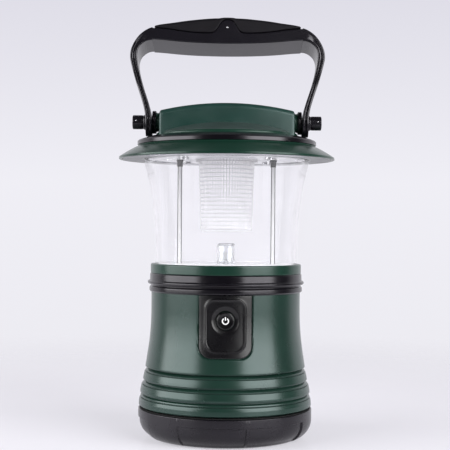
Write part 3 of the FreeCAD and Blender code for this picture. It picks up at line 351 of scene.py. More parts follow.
# ----------------------------------------------------------------------- material kinds
def dusted(tree, vector, colour, amount):
    """Pale specks gathered in patches."""
    cells = add_node(tree, "TexVoronoi", {"Scale": 190, "Vector": vector})
    specks = ramp(tree, cells.outputs["Distance"], (0.035, 1), (0.06, 0))
    patches = ramp(tree, noise(tree, vector, scale=24, detail=2), (0.60, 0), (0.66, 1))
    both = compute(tree, "MULTIPLY", specks, patches)
    factor = compute(tree, "MULTIPLY", both, amount)
    return mix_colour(tree, factor, colour, (0.55, 0.53, 0.56, 1))


def moulded(name, colour, rough=0.4, vary=0.08, grain=0.03, grain_scale=2600, specular=0.5,
            tint=0.12, dust=0.0, sheen=(1.0, 1.0, 1.0)):
    """Moulded plastic or rubber with fine grain.

    vary is the drift in roughness, tint the drift in colour, sheen the specular tint.
    """
    material, tree, shader, _ = new_material(name)
    vector = coords(tree)
    drift = noise(tree, vector, scale=35, detail=3)
    fine = noise(tree, vector, scale=grain_scale, detail=2, roughness=0.6)
    lighter = tuple(min(1, c) for c in scaled(colour, 1 + tint))
    base = ramp(tree, drift, (0.35, scaled(colour, 1 - tint)), (0.65, lighter))
    if dust:
        base = dusted(tree, vector, base, dust)
    bump = add_node(tree, "Bump", {"Strength": grain * 10, "Distance": 0.00003, "Height": fine})
    set_inputs(tree, shader, {
        "Base Color": base,
        "Roughness": ramp(tree, noise(tree, vector, scale=90),
                          (0.3, max(0.02, rough - vary)), (0.7, min(1, rough + vary))),
        "Normal": bump.outputs[0],
        "Specular IOR Level": specular,
        "Specular Tint": rgba(sheen)})
    return material


def metal(name, colour, rough, vary=0.06):
    """Metal with streaks along Z in colour and roughness."""
    material, tree, shader, _ = new_material(name)
    streak = noise(tree, coords(tree, scale=(400, 400, 20)), scale=3, detail=3)
    set_inputs(tree, shader, {
        "Base Color": ramp(tree, streak, (0.3, scaled(colour, 0.93)), (0.7, colour)),
        "Roughness": ramp(tree, streak, (0.3, max(0.02, rough - vary)), (0.7, rough + vary)),
        "Metallic": 1.0})
    return material


def prism_painted_shade_lines(tree):
    """Painted shade between the prism's rings and flutes, fading lower down, outer wall only."""
    x, y, z = axes(tree)

    def op(kind, *operands):
        return compute(tree, kind, *operands)

    def valleys(turns, edge):
        """1 close to whole numbers of turns, 0 elsewhere."""
        return op("GREATER_THAN", op("ABSOLUTE", op("SUBTRACT", op("FRACT", turns), 0.5)), edge)

    height = op("DIVIDE", op("SUBTRACT", z, PRISM_START * MM), PRISM_PITCH * MM)
    around = op("MULTIPLY", op("ARCTAN2", x, y), PRISM_FLUTES / (2 * math.pi))
    rings = op("MULTIPLY", valleys(height, edge=0.37), 0.55)
    flutes = op("MULTIPLY", valleys(around, edge=0.33), 0.55)
    both = op("MINIMUM", op("ADD", rings, flutes), 1.0)
    fade = map_range(tree, z, start=0.138, end=0.172, to=(0.38, 1.0))
    radius = op("SQRT", op("ADD", op("MULTIPLY", x, x), op("MULTIPLY", y, y)))
    wall = op("GREATER_THAN", radius, 0.0158)
    return op("MULTIPLY", op("MULTIPLY", both, fade), wall)


def clear(name, tint, rough, ior, through, milk=0.0, ribbed=False, edge=None, painted_glow=0.0):
    """Clear moulding: refracts for the eye, open to shadow and diffuse rays.

    through is the least see-through share, edge that share where the surface turns away,
    milk the part that does not transmit, painted_glow a faint painted glow seen by the camera
    only.
    """
    material, tree, shader, output = new_material(name)
    vector = coords(tree)
    drift = noise(tree, vector, scale=28, detail=3)
    colour = ramp(tree, drift, (0.3, scaled(tint, 0.985)), (0.7, tint))
    if ribbed:
        # painted shade: the ring and flute lines darken the colour towards grey
        colour = mix_colour(tree, prism_painted_shade_lines(tree), colour, (0.36, 0.36, 0.39, 1))
    set_inputs(tree, shader, {
        "Base Color": colour,
        "Roughness": ramp(tree, noise(tree, vector, scale=120),
                          (0.35, rough * 0.6), (0.7, rough * 1.5)),
        "IOR": ior,
        "Transmission Weight": 1.0 - milk})
    plain = add_node(tree, "BsdfTransparent", {0: colour})
    rays = add_node(tree, "LightPath", {}).outputs
    light = compute(tree, "MAXIMUM", rays["Is Shadow Ray"], rays["Is Diffuse Ray"])
    share = compute(tree, "MAXIMUM", light, through)
    if edge is not None:
        rim = ramp(tree, facing(tree), (0.55, through), (0.92, edge))
        tree.links.new(rim, share.node.inputs[1])
    surface = add_node(tree, "MixShader", {0: share, 1: shader.outputs[0], 2: plain.outputs[0]})
    if painted_glow:
        strength = compute(tree, "MULTIPLY", rays["Is Camera Ray"], painted_glow)
        if ribbed:
            # painted glow, stronger on the upper part
            z = axes(tree)["Z"]
            rising = map_range(tree, z, start=0.146, end=0.168, to=(painted_glow, painted_glow * 3.5))
            tree.links.new(rising, strength.node.inputs[1])
        glow = add_node(tree, "Emission", {0: (1.0, 0.995, 1.0, 1), 1: strength})
        surface = add_node(tree, "AddShader", {0: surface.outputs[0], 1: glow.outputs[0]})
    tree.links.new(surface.outputs[0], output.inputs[0])
    return material


def make_liner_painted_reflection():
    """Grey liner with a painted pale reflection near the middle, plain grey towards the left and
    right ends of the brim.
    """
    material = moulded("grey_liner", (0.10, 0.105, 0.115), rough=0.32, vary=0.04, grain=0.01,
                       specular=0.3, tint=0.05)
    tree = material.node_tree
    shader = next(n for n in tree.nodes if n.type == "BSDF_PRINCIPLED")
    grey = shader.inputs["Base Color"].links[0].from_socket
    across = compute(tree, "ABSOLUTE", axes(tree)["X"])
    factor = soft_step(tree, across, start=0.036, end=0.054)
    # painted reflection: pale near the middle, fading to the liner's grey towards the ends
    colour = mix_colour(tree, factor, (0.60, 0.60, 0.63, 1), grey)
    tree.links.new(colour, shader.inputs["Base Color"])
    return material


def make_rod_painted_reflection():
    """Painted reflection: a light streaked face and painted dark sides, so a thin rod reads as
    polished.
    """
    material, tree, shader, _ = new_material("rod_painted_reflection")
    streak = noise(tree, coords(tree, scale=(900, 900, 12)), scale=1.0, detail=3)
    bright = ramp(tree, streak, (0.3, (0.64, 0.635, 0.64)), (0.7, (0.80, 0.80, 0.81)))
    # painted reflection and shade: the colour turns dark where the surface turns away from the
    # eye
    factor = ramp(tree, facing(tree), (0.12, 0), (0.34, 1))
    set_inputs(tree, shader, {
        "Base Color": mix_colour(tree, factor, bright, (0.035, 0.034, 0.036, 1)),
        "Specular IOR Level": 0.2,
        "Roughness": 0.42})
    return material


# ---------------------------------------------------------------------------- materials
GREEN = moulded("green_plastic", (0.0078, 0.0255, 0.0182), sheen=(0.84, 0.99, 0.985),
                rough=0.26, vary=0.015, grain=0.035, specular=0.55, tint=0.10)
GREEN_TOP = moulded("green_plastic_top", (0.0066, 0.0290, 0.0190), sheen=(0.86, 1.0, 0.97),
                    rough=0.25, vary=0.02, tint=0.10)
GREEN_CROWN = moulded("green_plastic_crown", (0.0085, 0.0340, 0.0270), sheen=(0.86, 1.0, 1.0),
                      rough=0.38, vary=0.07, grain=0.09, grain_scale=1100, specular=0.6,
                      tint=0.16)
# painted highlight: a paler copy of the green for the dome's upper faces
GREEN_DOME_PAINTED_HIGHLIGHT = moulded("green_dome_painted_highlight", (0.0340, 0.0500, 0.0470), sheen=(0.92, 1.0, 1.0),
                     rough=0.34, vary=0.05, grain=0.05, specular=0.6, tint=0.16)
BLACK = moulded("black_plastic", (0.0026, 0.0022, 0.0036), sheen=(0.97, 0.94, 1.0),
                rough=0.22, vary=0.03)
BASE = moulded("black_base", (0.0026, 0.0020, 0.0038), sheen=(0.97, 0.94, 1.0),
               rough=0.28, vary=0.04, grain=0.04, specular=0.45, tint=0.15, dust=0.45)
PANEL = moulded("black_panel", (0.0022, 0.0019, 0.0027), rough=0.28, vary=0.03, grain=0.05,
                specular=0.45)
BUTTON = moulded("black_button", (0.0016, 0.0014, 0.0020), rough=0.22, vary=0.04, grain=0.02)
HANDLE = moulded("handle_plastic", (0.0052, 0.0045, 0.0068), sheen=(0.96, 0.94, 1.0),
                 rough=0.235, vary=0.02, grain=0.004, specular=0.6)
GRIP = moulded("grip_rubber", (0.0028, 0.0023, 0.0036), sheen=(0.97, 0.94, 1.0),
               rough=0.46, vary=0.04, specular=0.28, tint=0.15)
RUBBER = moulded("black_rubber", (0.006, 0.006, 0.006), rough=0.75, grain=0.06, specular=0.3,
                 tint=0.15)
WHITE = moulded("white_plastic", (0.86, 0.865, 0.88), rough=0.22, vary=0.05, grain=0.01,
                tint=0.015)
PRINT = moulded("white_print", (0.90, 0.90, 0.90), rough=0.45, vary=0.05, grain=0.01,
                specular=0.4, tint=0.02)
LINER_PAINTED_REFLECTION = make_liner_painted_reflection()
SOCKET = moulded("socket_plastic", (0.012, 0.012, 0.014), rough=0.35, vary=0.05, grain=0.02)
SWITCH = moulded("switch_plastic", (0.03, 0.03, 0.033), vary=0.05, grain=0.02)
CARRIER = moulded("carrier_plastic", (0.09, 0.09, 0.10), rough=0.5, vary=0.06, grain=0.05)
BOARD = moulded("circuit_board", (0.015, 0.12, 0.04), rough=0.3, vary=0.06, grain=0.02)
SLEEVE = moulded("wire_sleeve", (0.38, 0.02, 0.02), vary=0.05, grain=0.02)
STEEL = metal("screw_steel", (0.62, 0.62, 0.64), rough=0.28)
CHROME = metal("rod_chrome", (0.88, 0.88, 0.91), rough=0.24, vary=0.03)
CELLS = metal("cell_case", (0.55, 0.56, 0.60), rough=0.32)
RODS_PAINTED_REFLECTION = make_rod_painted_reflection()
SPRING = metal("spring_steel", (0.70, 0.70, 0.72), rough=0.25)
BRASS = metal("contact_brass", (0.78, 0.62, 0.34), rough=0.3)
ALU = metal("board_aluminium", (0.80, 0.80, 0.82), rough=0.35)
# painted glow: the globe gets a faint emission seen by the camera only
GLOBE = clear("clear_globe", (0.988, 0.987, 0.992), rough=0.02, ior=1.32, through=0.955,
              edge=0.55, painted_glow=0.022)
TUBE = clear("clear_tube", (0.96, 0.97, 0.98), rough=0.02, ior=1.49, through=0.15)
# painted shade lines on the prism (ribbed), and a painted glow that rises towards the top
PRISM = clear("clear_prism", (0.99, 0.99, 0.995), rough=0.10, ior=1.22, through=0.45,
              milk=0.42, ribbed=True, painted_glow=0.031)
LAMP = clear("led_epoxy", (0.93, 0.94, 0.93), rough=0.05, ior=1.5, through=0.0)

# ------------------------------------------------------------------------- battery base
# the base's lower edge is a quarter ellipse in (r, z)
EDGE_R, EDGE_Z, EDGE_HALF_R, EDGE_HALF_Z = 45.2, 12.3, 11.2, 12.0
RECESS_MIDDLES = [14.6 + 120 * i for i in range(3)]   # degrees round from the front
RECESS_SPANS = ((-46, -0.9), (0.9, 46))               # degrees each side of a middle
RECESS_DEPTH = 0.85


def base_angles():
    """Even 2 degree steps, with close steps at the ends of each recess."""
    degrees = set(2.0 * k for k in range(180))
    for middle in RECESS_MIDDLES:
        for edge in (middle + side for span in RECESS_SPANS for side in span):
            degrees = {a for a in degrees if abs((a - edge + 180) % 360 - 180) > 0.9}
            for offset in (-0.7, -0.4, -0.2, -0.05, 0.1, 0.25, 0.45, 0.75):
                degrees.add(round((edge + offset) % 360, 3))
    return [math.radians(a) for a in sorted(degrees)]


def battery_base():
    outer = [(0, 1.2), (41.5, 1.2), (42.2, 0.3), (45.4, 0.3)]
    for k in range(1, 17):
        t = math.radians(-90 + 90 * k / 16)
        outer.append((EDGE_R + EDGE_HALF_R * math.cos(t), EDGE_Z + EDGE_HALF_Z * math.sin(t)))
    wall_rows = [12.9, 13.3, 13.45, 13.6, 13.75, 13.9, 14.6, 16.5, 18.6]
    outer += [(EDGE_R + EDGE_HALF_R, z) for z in wall_rows]
    outer += [(56.32, 18.75), (56.15, 19.0), (55.85, 19.15)]
    inside = [(54.0, 19.3), (51.5, 19.3), (51.5, 27.2), (49.0, 27.2), (49.0, 3.8), (0, 3.8)]

    def recess(angle, i, r, z):
        """Sinks the six shallow recesses, two beside each middle."""
        if i < 5 or z > 14.2 or i >= len(outer):
            return r, z
        depth = 0.0
        for middle in RECESS_MIDDLES:
            away = (math.degrees(angle) - middle + 180) % 360 - 180
            for start, end in RECESS_SPANS:
                rise = smoothstep(start - 0.2, start + 0.2, away)
                depth = max(depth, rise * (1 - smoothstep(end - 0.2, end + 0.2, away)))
        depth *= (1 - smoothstep(13.42, 13.78, z)) * smoothstep(0.5, 2.0, z)
        if depth <= 0:
            return r, z
        out_r = r - EDGE_R
        out_z = (z - EDGE_Z) * EDGE_HALF_R / EDGE_HALF_Z if z < EDGE_Z else 0
        length = math.hypot(out_r, out_z) or 1
        sink = RECESS_DEPTH * depth / length
        return r - sink * out_r, z - sink * out_z

    mesh = turned(outer + inside, angles=base_angles(), push=recess)
    register(build("battery_base", mesh, BASE, sharp=35),
             "battery_base", "base_cap")


# ----------------------------------------------------------------------- ribbed housing
# (z, radius) of the housing wall above the ribs
body_radius = smooth_curve([
    (46.0, 52.0), (50.0, 51.35), (55.9, 50.45), (63.7, 49.4), (71.5, 48.75), (79, 48.45),
    (86.0, 48.4), (94.2, 48.4)])
# (r, z, corner radius) of the ribs, bottom to top
RIBS = [
    (53.1, 20.55), (55.4, 20.55, 0.2), (56.15, 21.2, 0.5), (56.0, 23.9, 1.5),
    (55.75, 25.2, 0.6), (55.45, 26.0, 0.25), (54.65, 26.2), (54.65, 26.45),
    (55.15, 26.7, 0.2), (54.9, 27.5, 0.5), (53.6, 28.35, 0.2), (53.6, 29.05, 0.05),
    (55.2, 29.25, 0.25), (55.15, 30.5, 1.0), (54.9, 31.9, 1.0), (54.45, 34.25, 0.25),
    (53.5, 34.45), (53.5, 34.72), (53.98, 34.95, 0.2), (53.3, 35.75, 0.5),
    (51.8, 36.8, 0.2), (51.8, 37.5, 0.05), (53.45, 37.72, 0.25), (53.15, 39.6, 1.0),
    (52.85, 40.9, 1.0), (52.5, 42.5, 0.25), (51.6, 42.7), (51.6, 42.98),
    (52.1, 43.2, 0.2), (51.5, 43.85, 0.5), (49.7, 45.1, 0.2), (49.7, 45.8, 0.05),
    (51.95, 46.05, 0.28)]
POCKET_GAP, POCKET_DEPTH = 0.95, 0.95   # room round the switch panel, depth of its pocket


def ribbed_housing():
    # the last corner's final point is left out, as the wall carries on from there
    ribs = soften(RIBS, 4)[:-1]
    rows = [46.4, 47.0, 48.0, 49.0] + [50.0 + 0.4 * k for k in range(110)] + [93.95, 94.2]
    outside = ribs + [(body_radius(z), z) for z in rows]
    inside = [(45.9, 94.2), (45.9, 66.0), (46.6, 56.0), (48.2, 46.0), (48.3, 40.0),
              (50.0, 36.0), (50.3, 31.0), (52.4, 28.0), (53.1, 27.0)]
    fine = [math.radians(-25 + 0.36 * k) for k in range(140)]
    coarse = [math.radians(26 + 2 * k) for k in range(155)]
    # its top lies above the housing, so the pocket runs out through the rim
    pocket = rounded_box(PANEL_HALF_WIDTH + POCKET_GAP, PANEL_BOTTOM - POCKET_GAP, 200.0,
                         PANEL_CORNER + POCKET_GAP, PANEL_CORNER)

    def sink_pocket(angle, i, r, z):
        angle = (angle + math.pi) % (2 * math.pi) - math.pi
        if i >= len(outside) or z < 49 or abs(angle) > math.radians(25):
            return r, z
        distance = pocket(r * math.sin(angle), z)
        return r - POCKET_DEPTH * (1 - smoothstep(-0.60, 0.15, distance)), z

    angles = sorted(fine + coarse, key=lambda a: a % (2 * math.pi))
    mesh = turned(outside + inside, angles=angles, push=sink_pocket)
    register(build("ribbed_housing", mesh, GREEN, sharp=38),
             "lantern", "body_shell")


# ------------------------------------------------------------------- switch panel, button
# outlines round the button centre, from the button hole out to the panel edge
HOLE_RADII = (5.75, 8.5)
PANEL_BOXES = (
    rounded_box(10.6, 61.2, 90.1, 5.0, 4.2),
    rounded_box(12.85, 58.9, 92.3, 7.2, 6.0),
    rounded_box(PANEL_HALF_WIDTH, PANEL_BOTTOM, 94.15, PANEL_CORNER, 0.6))
# (outline it starts from, fraction of the way to the next, height over the housing wall)
PANEL_RINGS = [
    (0, 0.0, -2.6), (0, 0.0, -0.9), (0, 0.06, -0.62), (0, 0.25, -0.45), (0, 0.5, -0.25),
    (0, 0.75, 0.02), (0, 0.9, 0.26),
    (1, 0.0, 0.42), (1, 0.08, 0.50), (1, 0.2, 0.52), (1, 0.5, 0.52), (1, 0.8, 0.52),
    (1, 0.93, 0.52),
    (2, 0.0, 0.53), (2, 0.2, 0.56), (2, 0.36, 0.64), (2, 0.48, 0.80), (2, 0.58, 0.95),
    (2, 0.66, 1.0), (2, 0.76, 0.98), (2, 0.86, 0.78), (2, 0.93, 0.45),
    (3, 0.0, 0.18), (3, 0.1, 0.10), (3, 0.3, 0.08), (3, 0.6, 0.06), (3, 0.85, 0.04),
    (3, 0.93, 0.0), (3, 0.975, -0.12), (3, 1.0, -0.35), (3, 1.0, -2.4), (3, 0.5, -2.45)]


def reach(box, angle):
    """Distance from the button centre to a box outline, angle 0 pointing up."""
    low, high = 0.0, 40.0
    for _ in range(40):
        middle = (low + high) / 2
        if box(middle * math.sin(angle), BUTTON_Z + middle * math.cos(angle)) < 0:
            low = middle
        else:
            high = middle
    return (low + high) / 2


def switch_panel():
    angles = [2 * math.pi * k / 360 for k in range(360)]
    reaches = [HOLE_RADII + tuple(reach(box, a) for box in PANEL_BOXES) for a in angles]
    sections = []
    for outline, fraction, height in PANEL_RINGS:
        ring = []
        for angle, distances in zip(angles, reaches):
            distance = lerp(distances[outline], distances[outline + 1], fraction)
            x, z = distance * math.sin(angle), BUTTON_Z + distance * math.cos(angle)
            radius = body_radius(z) + height
            ring.append((x, -math.sqrt(radius * radius - x * x), z))
        sections.append(ring)
    register(build("switch_panel_face", loft(sections, closed=True), PANEL, sharp=50),
             "lantern", "switch_panel")


def power_button():
    # (r from the button centre, y, corner radius)
    outline = soften([
        (0, -48.75), (3.2, -48.80, 1.0), (4.35, -49.0, 0.3), (4.75, -49.05, 0.2),
        (4.95, -48.95, 0.2), (5.05, -48.80, 0.1), (5.15, -48.9, 0.1), (5.45, -48.85, 0.3),
        (5.6, -48.3, 0.3), (5.6, -45.2), (6.8, -45.2), (6.8, -44.2), (0, -44.2)], 3)
    mesh = moved(turned(outline, 96), lambda x, y, z: (x, z, y + BUTTON_Z))
    register(build("power_button_cap", mesh, BUTTON), "button", "power_button")


def power_symbol():
    """Raised ring open at the top, with an upright bar in the gap."""
    back_y, front_y = -48.80, -49.02
    # (r, y) across the ring
    across = [(1.52, back_y), (1.52, -48.95), (1.58, front_y),
              (2.10, front_y), (2.17, -48.95), (2.17, back_y)]
    half_gap, steps = math.radians(34), 60
    arc = []
    for k in range(steps + 1):
        t = half_gap + (2 * math.pi - 2 * half_gap) * k / steps
        arc.append([(r * math.sin(t), y, BUTTON_Z + r * math.cos(t)) for r, y in across])
    # (x, z from the button centre); the front face is drawn in towards taper_z
    bar = [(-0.34, 0.35), (0.34, 0.35), (0.34, 2.55), (-0.34, 2.55)]
    taper_x, taper_z, narrowing = 0.88, 1.55, 0.97
    foot = [(x, back_y, BUTTON_Z + z) for x, z in bar]
    face = [(x * taper_x, front_y, BUTTON_Z + taper_z + (z - taper_z) * narrowing)
            for x, z in bar]
    mesh = joined(loft(arc), loft([foot, face]))
    register(build("power_symbol", mesh, PRINT, sharp=30, weighted=False),
             "button", "power_icon")


# ------------------------------------------------------ collar to globe: (r, z, corner radius)
def collar():
    outline = soften([
        (45.8, 90.2), (45.8, 94.25), (49.0, 94.25, 0.3), (49.75, 95.0, 0.8),
        (49.75, 97.2, 0.9), (48.95, 98.2, 0.4), (48.75, 98.7, 0.3), (48.95, 99.15, 0.3),
        (50.2, 99.3, 0.35), (50.85, 99.9, 0.5), (50.85, 100.9, 0.5), (50.2, 101.5, 0.4),
        (49.45, 101.8, 0.4), (49.35, 105.6, 0.5), (48.95, 106.2, 0.25), (43.4, 106.2),
        (43.4, 98.5), (28.0, 98.5), (28.0, 96.0), (43.4, 96.0), (43.4, 90.2)])
    register(build("collar", turned(outline), BLACK),
             "lantern", "collar_band")


def globe_ring():
    outline = soften([(46.6, 106.25), (48.75, 106.25, 0.2), (49.0, 106.7, 0.3),
                      (49.0, 112.4, 1.5), (46.95, 112.4, 0.35), (46.6, 111.9, 0.2)], 7)
    register(build("globe_ring_trim", turned(outline), GREEN_TOP),
             "lantern", "globe_ring")


def globe():
    wall = 2.1
    outside = spline([(46.4, 107.2), (46.4, 113.5), (46.45, 122.0), (46.8, 132.6),
                      (47.9, 146.0), (50.0, 161.0), (51.9, 170.4), (53.4, 176.6)], 7)
    inside = [(r - wall, z) for r, z in reversed(outside)]
    rim = [(53.5, 177.0), (53.5, 181.0), (53.5 - wall, 181.0), (53.5 - wall, 177.0)]
    register(build("globe_shell", turned(outside + rim + inside, 224), GLOBE, sharp=50),
             "lantern", "globe")


def deck():
    outline = soften([
        (6.0, 112.1), (7.6, 112.1, 0.3), (8.2, 112.4, 0.3), (30, 112.45, 3),
        (42.4, 112.3, 0.8), (43.4, 112.75, 0.4), (44.05, 112.75, 0.2), (44.1, 110.8),
        (43.2, 110.8), (43.2, 98.5), (41.4, 98.5), (41.4, 111.0), (6.0, 111.0)], 4)
    register(build("deck_floor", turned(outline), WHITE),
             "lantern", "deck_reflector")


def led():
    tube = soften([(4.9, 111.0), (5.9, 111.0), (5.9, 125.6, 1.4), (0, 125.6), (0, 124.5),
                   (4.9, 124.5, 0.8)], 6)
    register(build("led_tube_cover", turned(tube, 96), TUBE),
             "lantern", "led_tube")
    lamp = soften([(0, 113.8), (2.9, 113.8), (2.9, 114.7, 0.2), (2.5, 114.9),
                   (2.5, 119.5, 2.2), (0, 119.5)], 8)
    register(build("led_lamp_body", turned(lamp, 64), LAMP),
             "lantern", "led_lamp")


def on_both_rods(outline):
    rod = turned(outline, 48)
    return joined(*(moved(rod, lambda x, y, z: (x + side * ROD_X, y, z)) for side in (-1, 1)))


def support_rods():
    rod = soften([(0, 108.2), (1.45, 108.2, 0.3), (1.45, 184.4, 0.3), (0, 184.4)], 3)
    register(build("support_rods_pair", on_both_rods(rod), RODS_PAINTED_REFLECTION),
             "lantern", "support_rods")
    socket = soften([(1.45, 175.4), (1.75, 175.4, 0.1), (1.85, 175.8, 0.2),
                     (1.85, 178.4, 0.2), (2.3, 179.2, 0.3), (2.3, 180.0), (1.45, 180.0)], 3)
    register(build("rod_socket_pair", on_both_rods(socket), SOCKET),
             "lantern", "rod_sockets")


def prism():
    """Sawtooth rings crossed by fine upright flutes."""
    outline = [(0, 133.0), (14.8, 133.0), (16.2, 133.25), (16.75, 133.9)]
    radius = piecewise([(133, 17.0), (150, 17.35), (178, 18.3)])
    # (fraction of the pitch, step from the nominal radius)
    tooth = ((0.0, -0.55), (0.12, -0.18), (0.3, 0.0), (0.7, -0.02), (0.9, -0.2))
    z = PRISM_START
    while z < 173.6:
        for fraction, step in tooth:
            row = z + fraction * PRISM_PITCH
            outline.append((radius(row) + step, row))
        z += PRISM_PITCH
    outline += [(radius(z) - 2.0, z + 0.05), (radius(z) - 2.0, z + 0.85),
                (radius(z) + 0.05, z + 1.0), (18.3, 178.3), (20.2, 178.5), (20.2, 180.0),
                (15.9, 180.0), (15.6, 176), (14.6, 135.2), (13.6, 134.8), (0, 134.8)]

    def flute(angle, i, r, z):
        if r < 16 or z > 178.2 or z < 133.5:
            return r, z
        return r - 0.34 * (1 - abs(math.cos(angle * PRISM_FLUTES / 2))), z

    register(build("prism_lens", turned(outline, 480, push=flute), PRISM, sharp=25),
             "lantern", "prism_diffuser")


# ------------------------------------------------------------------------------- canopy
# (r, z) down to the axis
DOME = spline([(45.4, 197.0), (40.0, 199.1), (33.0, 201.1), (26.2, 202.6), (13.0, 204.6),
               (6.0, 205.1), (0.0, 205.2)], 5)


def canopy():
    brim = soften([
        (53.7, 182.2), (53.7, 179.9, 0.3), (55.3, 179.9, 0.2), (55.3, 183.8), (56.6, 186.0),
        (60.6, 184.7), (63.9, 182.8), (66.6, 181.1), (68.4, 179.9, 0.2), (69.9, 179.85, 0.3),
        (70.4, 180.4, 0.5)], 4)
    slope = spline([(70.1, 181.3), (68.0, 182.75), (65.4, 184.35), (61.9, 186.35),
                    (58.25, 188.2)], 5)
    shoulder = soften([
        (57.9, 188.6), (57.6, 189.2), (51.8, 189.2), (51.8, 194.0, 0.3), (51.3, 194.25, 0.4),
        (47.7, 194.3, 0.6), (46.5, 194.9, 0.6), (46.0, 196.5)], 4)
    inside = [(0, 203.0), (13.0, 202.4), (26.0, 200.4), (33.0, 198.9), (39.5, 196.9),
              (43.9, 195.3), (44.6, 192.6), (49.2, 191.8), (49.5, 187.0), (49.5, 182.2)]
    mesh = turned(brim + slope + shoulder + DOME + inside, 224)
    ob = build("canopy_shell", mesh, GREEN_TOP)
    # painted highlight: upward dome faces inside r 46.2 above z 195.5 take the paler green copy
    ob.data.materials.append(GREEN_DOME_PAINTED_HIGHLIGHT)
    for face in ob.data.polygons:
        x, y, z = face.center
        if z > 195.5 * MM and math.hypot(x, y) < 46.2 * MM and face.normal.z > 0:
            face.material_index = 1
    register(ob, "lantern", "canopy")


def canopy_rings():
    liner = soften([(55.35, 179.95, 0.1), (58.0, 179.9, 0.2), (68.3, 179.9, 0.15),
                    (67.4, 180.45), (66.0, 180.9), (55.35, 180.8)], 4)
    register(build("brim_liner_ring", turned(liner, 224), LINER_PAINTED_REFLECTION),
             "lantern", "brim_liner")
    trim = soften([(51.8, 189.2), (58.2, 189.2, 0.25), (58.25, 191.5, 0.5),
                   (57.6, 192.15, 0.5), (52.6, 193.95, 0.6), (51.8, 193.8, 0.2)])
    register(build("trim_ring_band", turned(trim, 224), BLACK),
             "lantern", "trim_ring")


# -------------------------------------------------------------------------------- crown
CROWN_HALF_LENGTH, CROWN_HALF_DEPTH = 43.0, 26.0
CROWN_TOP, CROWN_ARCH = 215.0, 198.0          # highest point, radius of the top seen from front
CROWN_END_ROUND, CROWN_EDGE_ROUND = 1.2, 3.6
canopy_height = piecewise(sorted(DOME + [
    (46.0, 196.4), (46.6, 194.8), (47.7, 194.3), (52.0, 194.0), (60, 193.0)]))


def crown_section(x):
    """Outline at x: up the front, over the top, down the back and along the canopy."""
    past = max(0.0, abs(x) - (CROWN_HALF_LENGTH - CROWN_END_ROUND))
    inset = CROWN_END_ROUND - math.sqrt(max(0.0, CROWN_END_ROUND ** 2 - past ** 2))
    top = CROWN_TOP - CROWN_ARCH + math.sqrt(CROWN_ARCH ** 2 - x * x) - inset
    # the ends are 3.3 narrower on each side than the middle
    half = CROWN_HALF_DEPTH - inset - 3.3 * (x / CROWN_HALF_LENGTH) ** 2
    flat = half - CROWN_EDGE_ROUND
    corner = []
    for k in range(9):
        t = math.radians(90 - 90 * k / 8)
        corner.append((flat + CROWN_EDGE_ROUND * math.cos(t),
                       top - CROWN_EDGE_ROUND + CROWN_EDGE_ROUND * math.sin(t)))
    points = [(-y, z) for y, z in reversed(corner)]
    points += [(lerp(-flat, flat, k / 12), top) for k in range(1, 12)]
    points += corner
    for k in range(17):
        y = lerp(half, -half, k / 16)
        points.append((y, canopy_height(math.hypot(x, y)) - 0.25))
    return [(x, y, z) for y, z in points]


def crown():
    stations = mirrored_stations([-43.0, -42.92, -42.7, -42.3, -41.8], 60)
    block = loft([crown_section(x) for x in stations])
    register(build("crown_block", block, GREEN_CROWN, sharp=50),
             "lantern", "crown_bar")
    # (r, distance out from the middle, corner radius)
    hub = soften([
        (3.05, 28.0), (5.2, 28.0), (5.2, 42.5), (6.5, 42.5), (6.5, 44.4, 0.3),
        (6.1, 44.7, 0.2), (6.1, 45.4, 0.2), (6.5, 45.7, 0.2), (6.5, 47.35, 0.3),
        (3.05, 47.35)], 3)
    for side, suffix in ((1, "r"), (-1, "l")):
        register(build("crown_hub_" + suffix, turned_on_pivot(hub, side), GREEN_TOP),
                 "lantern", "crown_bar")


# ------------------------------------------------------------------------------- handle
# (x, u): seam between frame and grip pad, top of the pad, underside of the cross bar
seam = mirrored_curve([
    (0, 66.2), (1.4, 66.1), (2.6, 65.7), (3.6, 65.0), (4.4, 64.2), (5.6, 62.2), (7.0, 59.8),
    (8.0, 58.5), (9.2, 57.7), (10.6, 57.3), (12.6, 57.15), (17.3, 57.2), (23.8, 57.6),
    (30.4, 58.4), (36.8, 59.4), (43.4, 60.2), (48.8, 60.55)])
pad_top = mirrored_curve([
    (0, 67.95), (7.4, 67.85), (12.6, 67.57), (17.9, 67.06), (23.1, 66.5), (28.4, 65.8),
    (33.6, 64.95), (38.9, 64.0), (44.1, 63.0), (47.6, 62.0), (49.2, 61.3)])
underside = mirrored_curve([(0, 49.6), (17.3, 49.9), (30.3, 50.6), (43.2, 51.8), (49.5, 52.2)])
# (outer x, outer u, inner x, inner u) up the right arm
ARM = [
    (52.9, 0.0, 48.6, 0.0), (53.3, 4.2, 49.1, 4.2), (54.1, 8.2, 50.1, 8.2),
    (55.4, 13.1, 51.6, 13.1), (57.3, 19.1, 53.6, 19.1), (59.3, 25.2, 55.4, 25.2),
    (61.0, 30.4, 56.8, 30.4), (62.3, 35.2, 57.9, 35.2), (63.2, 39.2, 58.6, 39.4),
    (63.4, 42.0, 58.8, 42.4), (63.0, 45.4, 58.3, 45.4), (61.8, 48.9, 57.1, 48.0),
    (59.9, 52.5, 55.4, 49.8), (57.3, 55.9, 53.6, 51.1), (54.3, 58.5, 51.8, 51.85),
    (51.6, 60.1, 50.4, 52.12), (49.3, 61.0, 49.1, 52.2)]
ARM_END_RADIUS = 9.2
BAR_HALF_DEPTH = 12.5
# (u, half the arm's front-to-back depth)
arm_half_depth = piecewise([
    (-ARM_END_RADIUS, ARM_END_RADIUS), (21, ARM_END_RADIUS), (23.5, 9.6), (26, 10.3),
    (29, 11.3), (32, 12.05), (35, 12.4), (38, BAR_HALF_DEPTH), (80, BAR_HALF_DEPTH)])
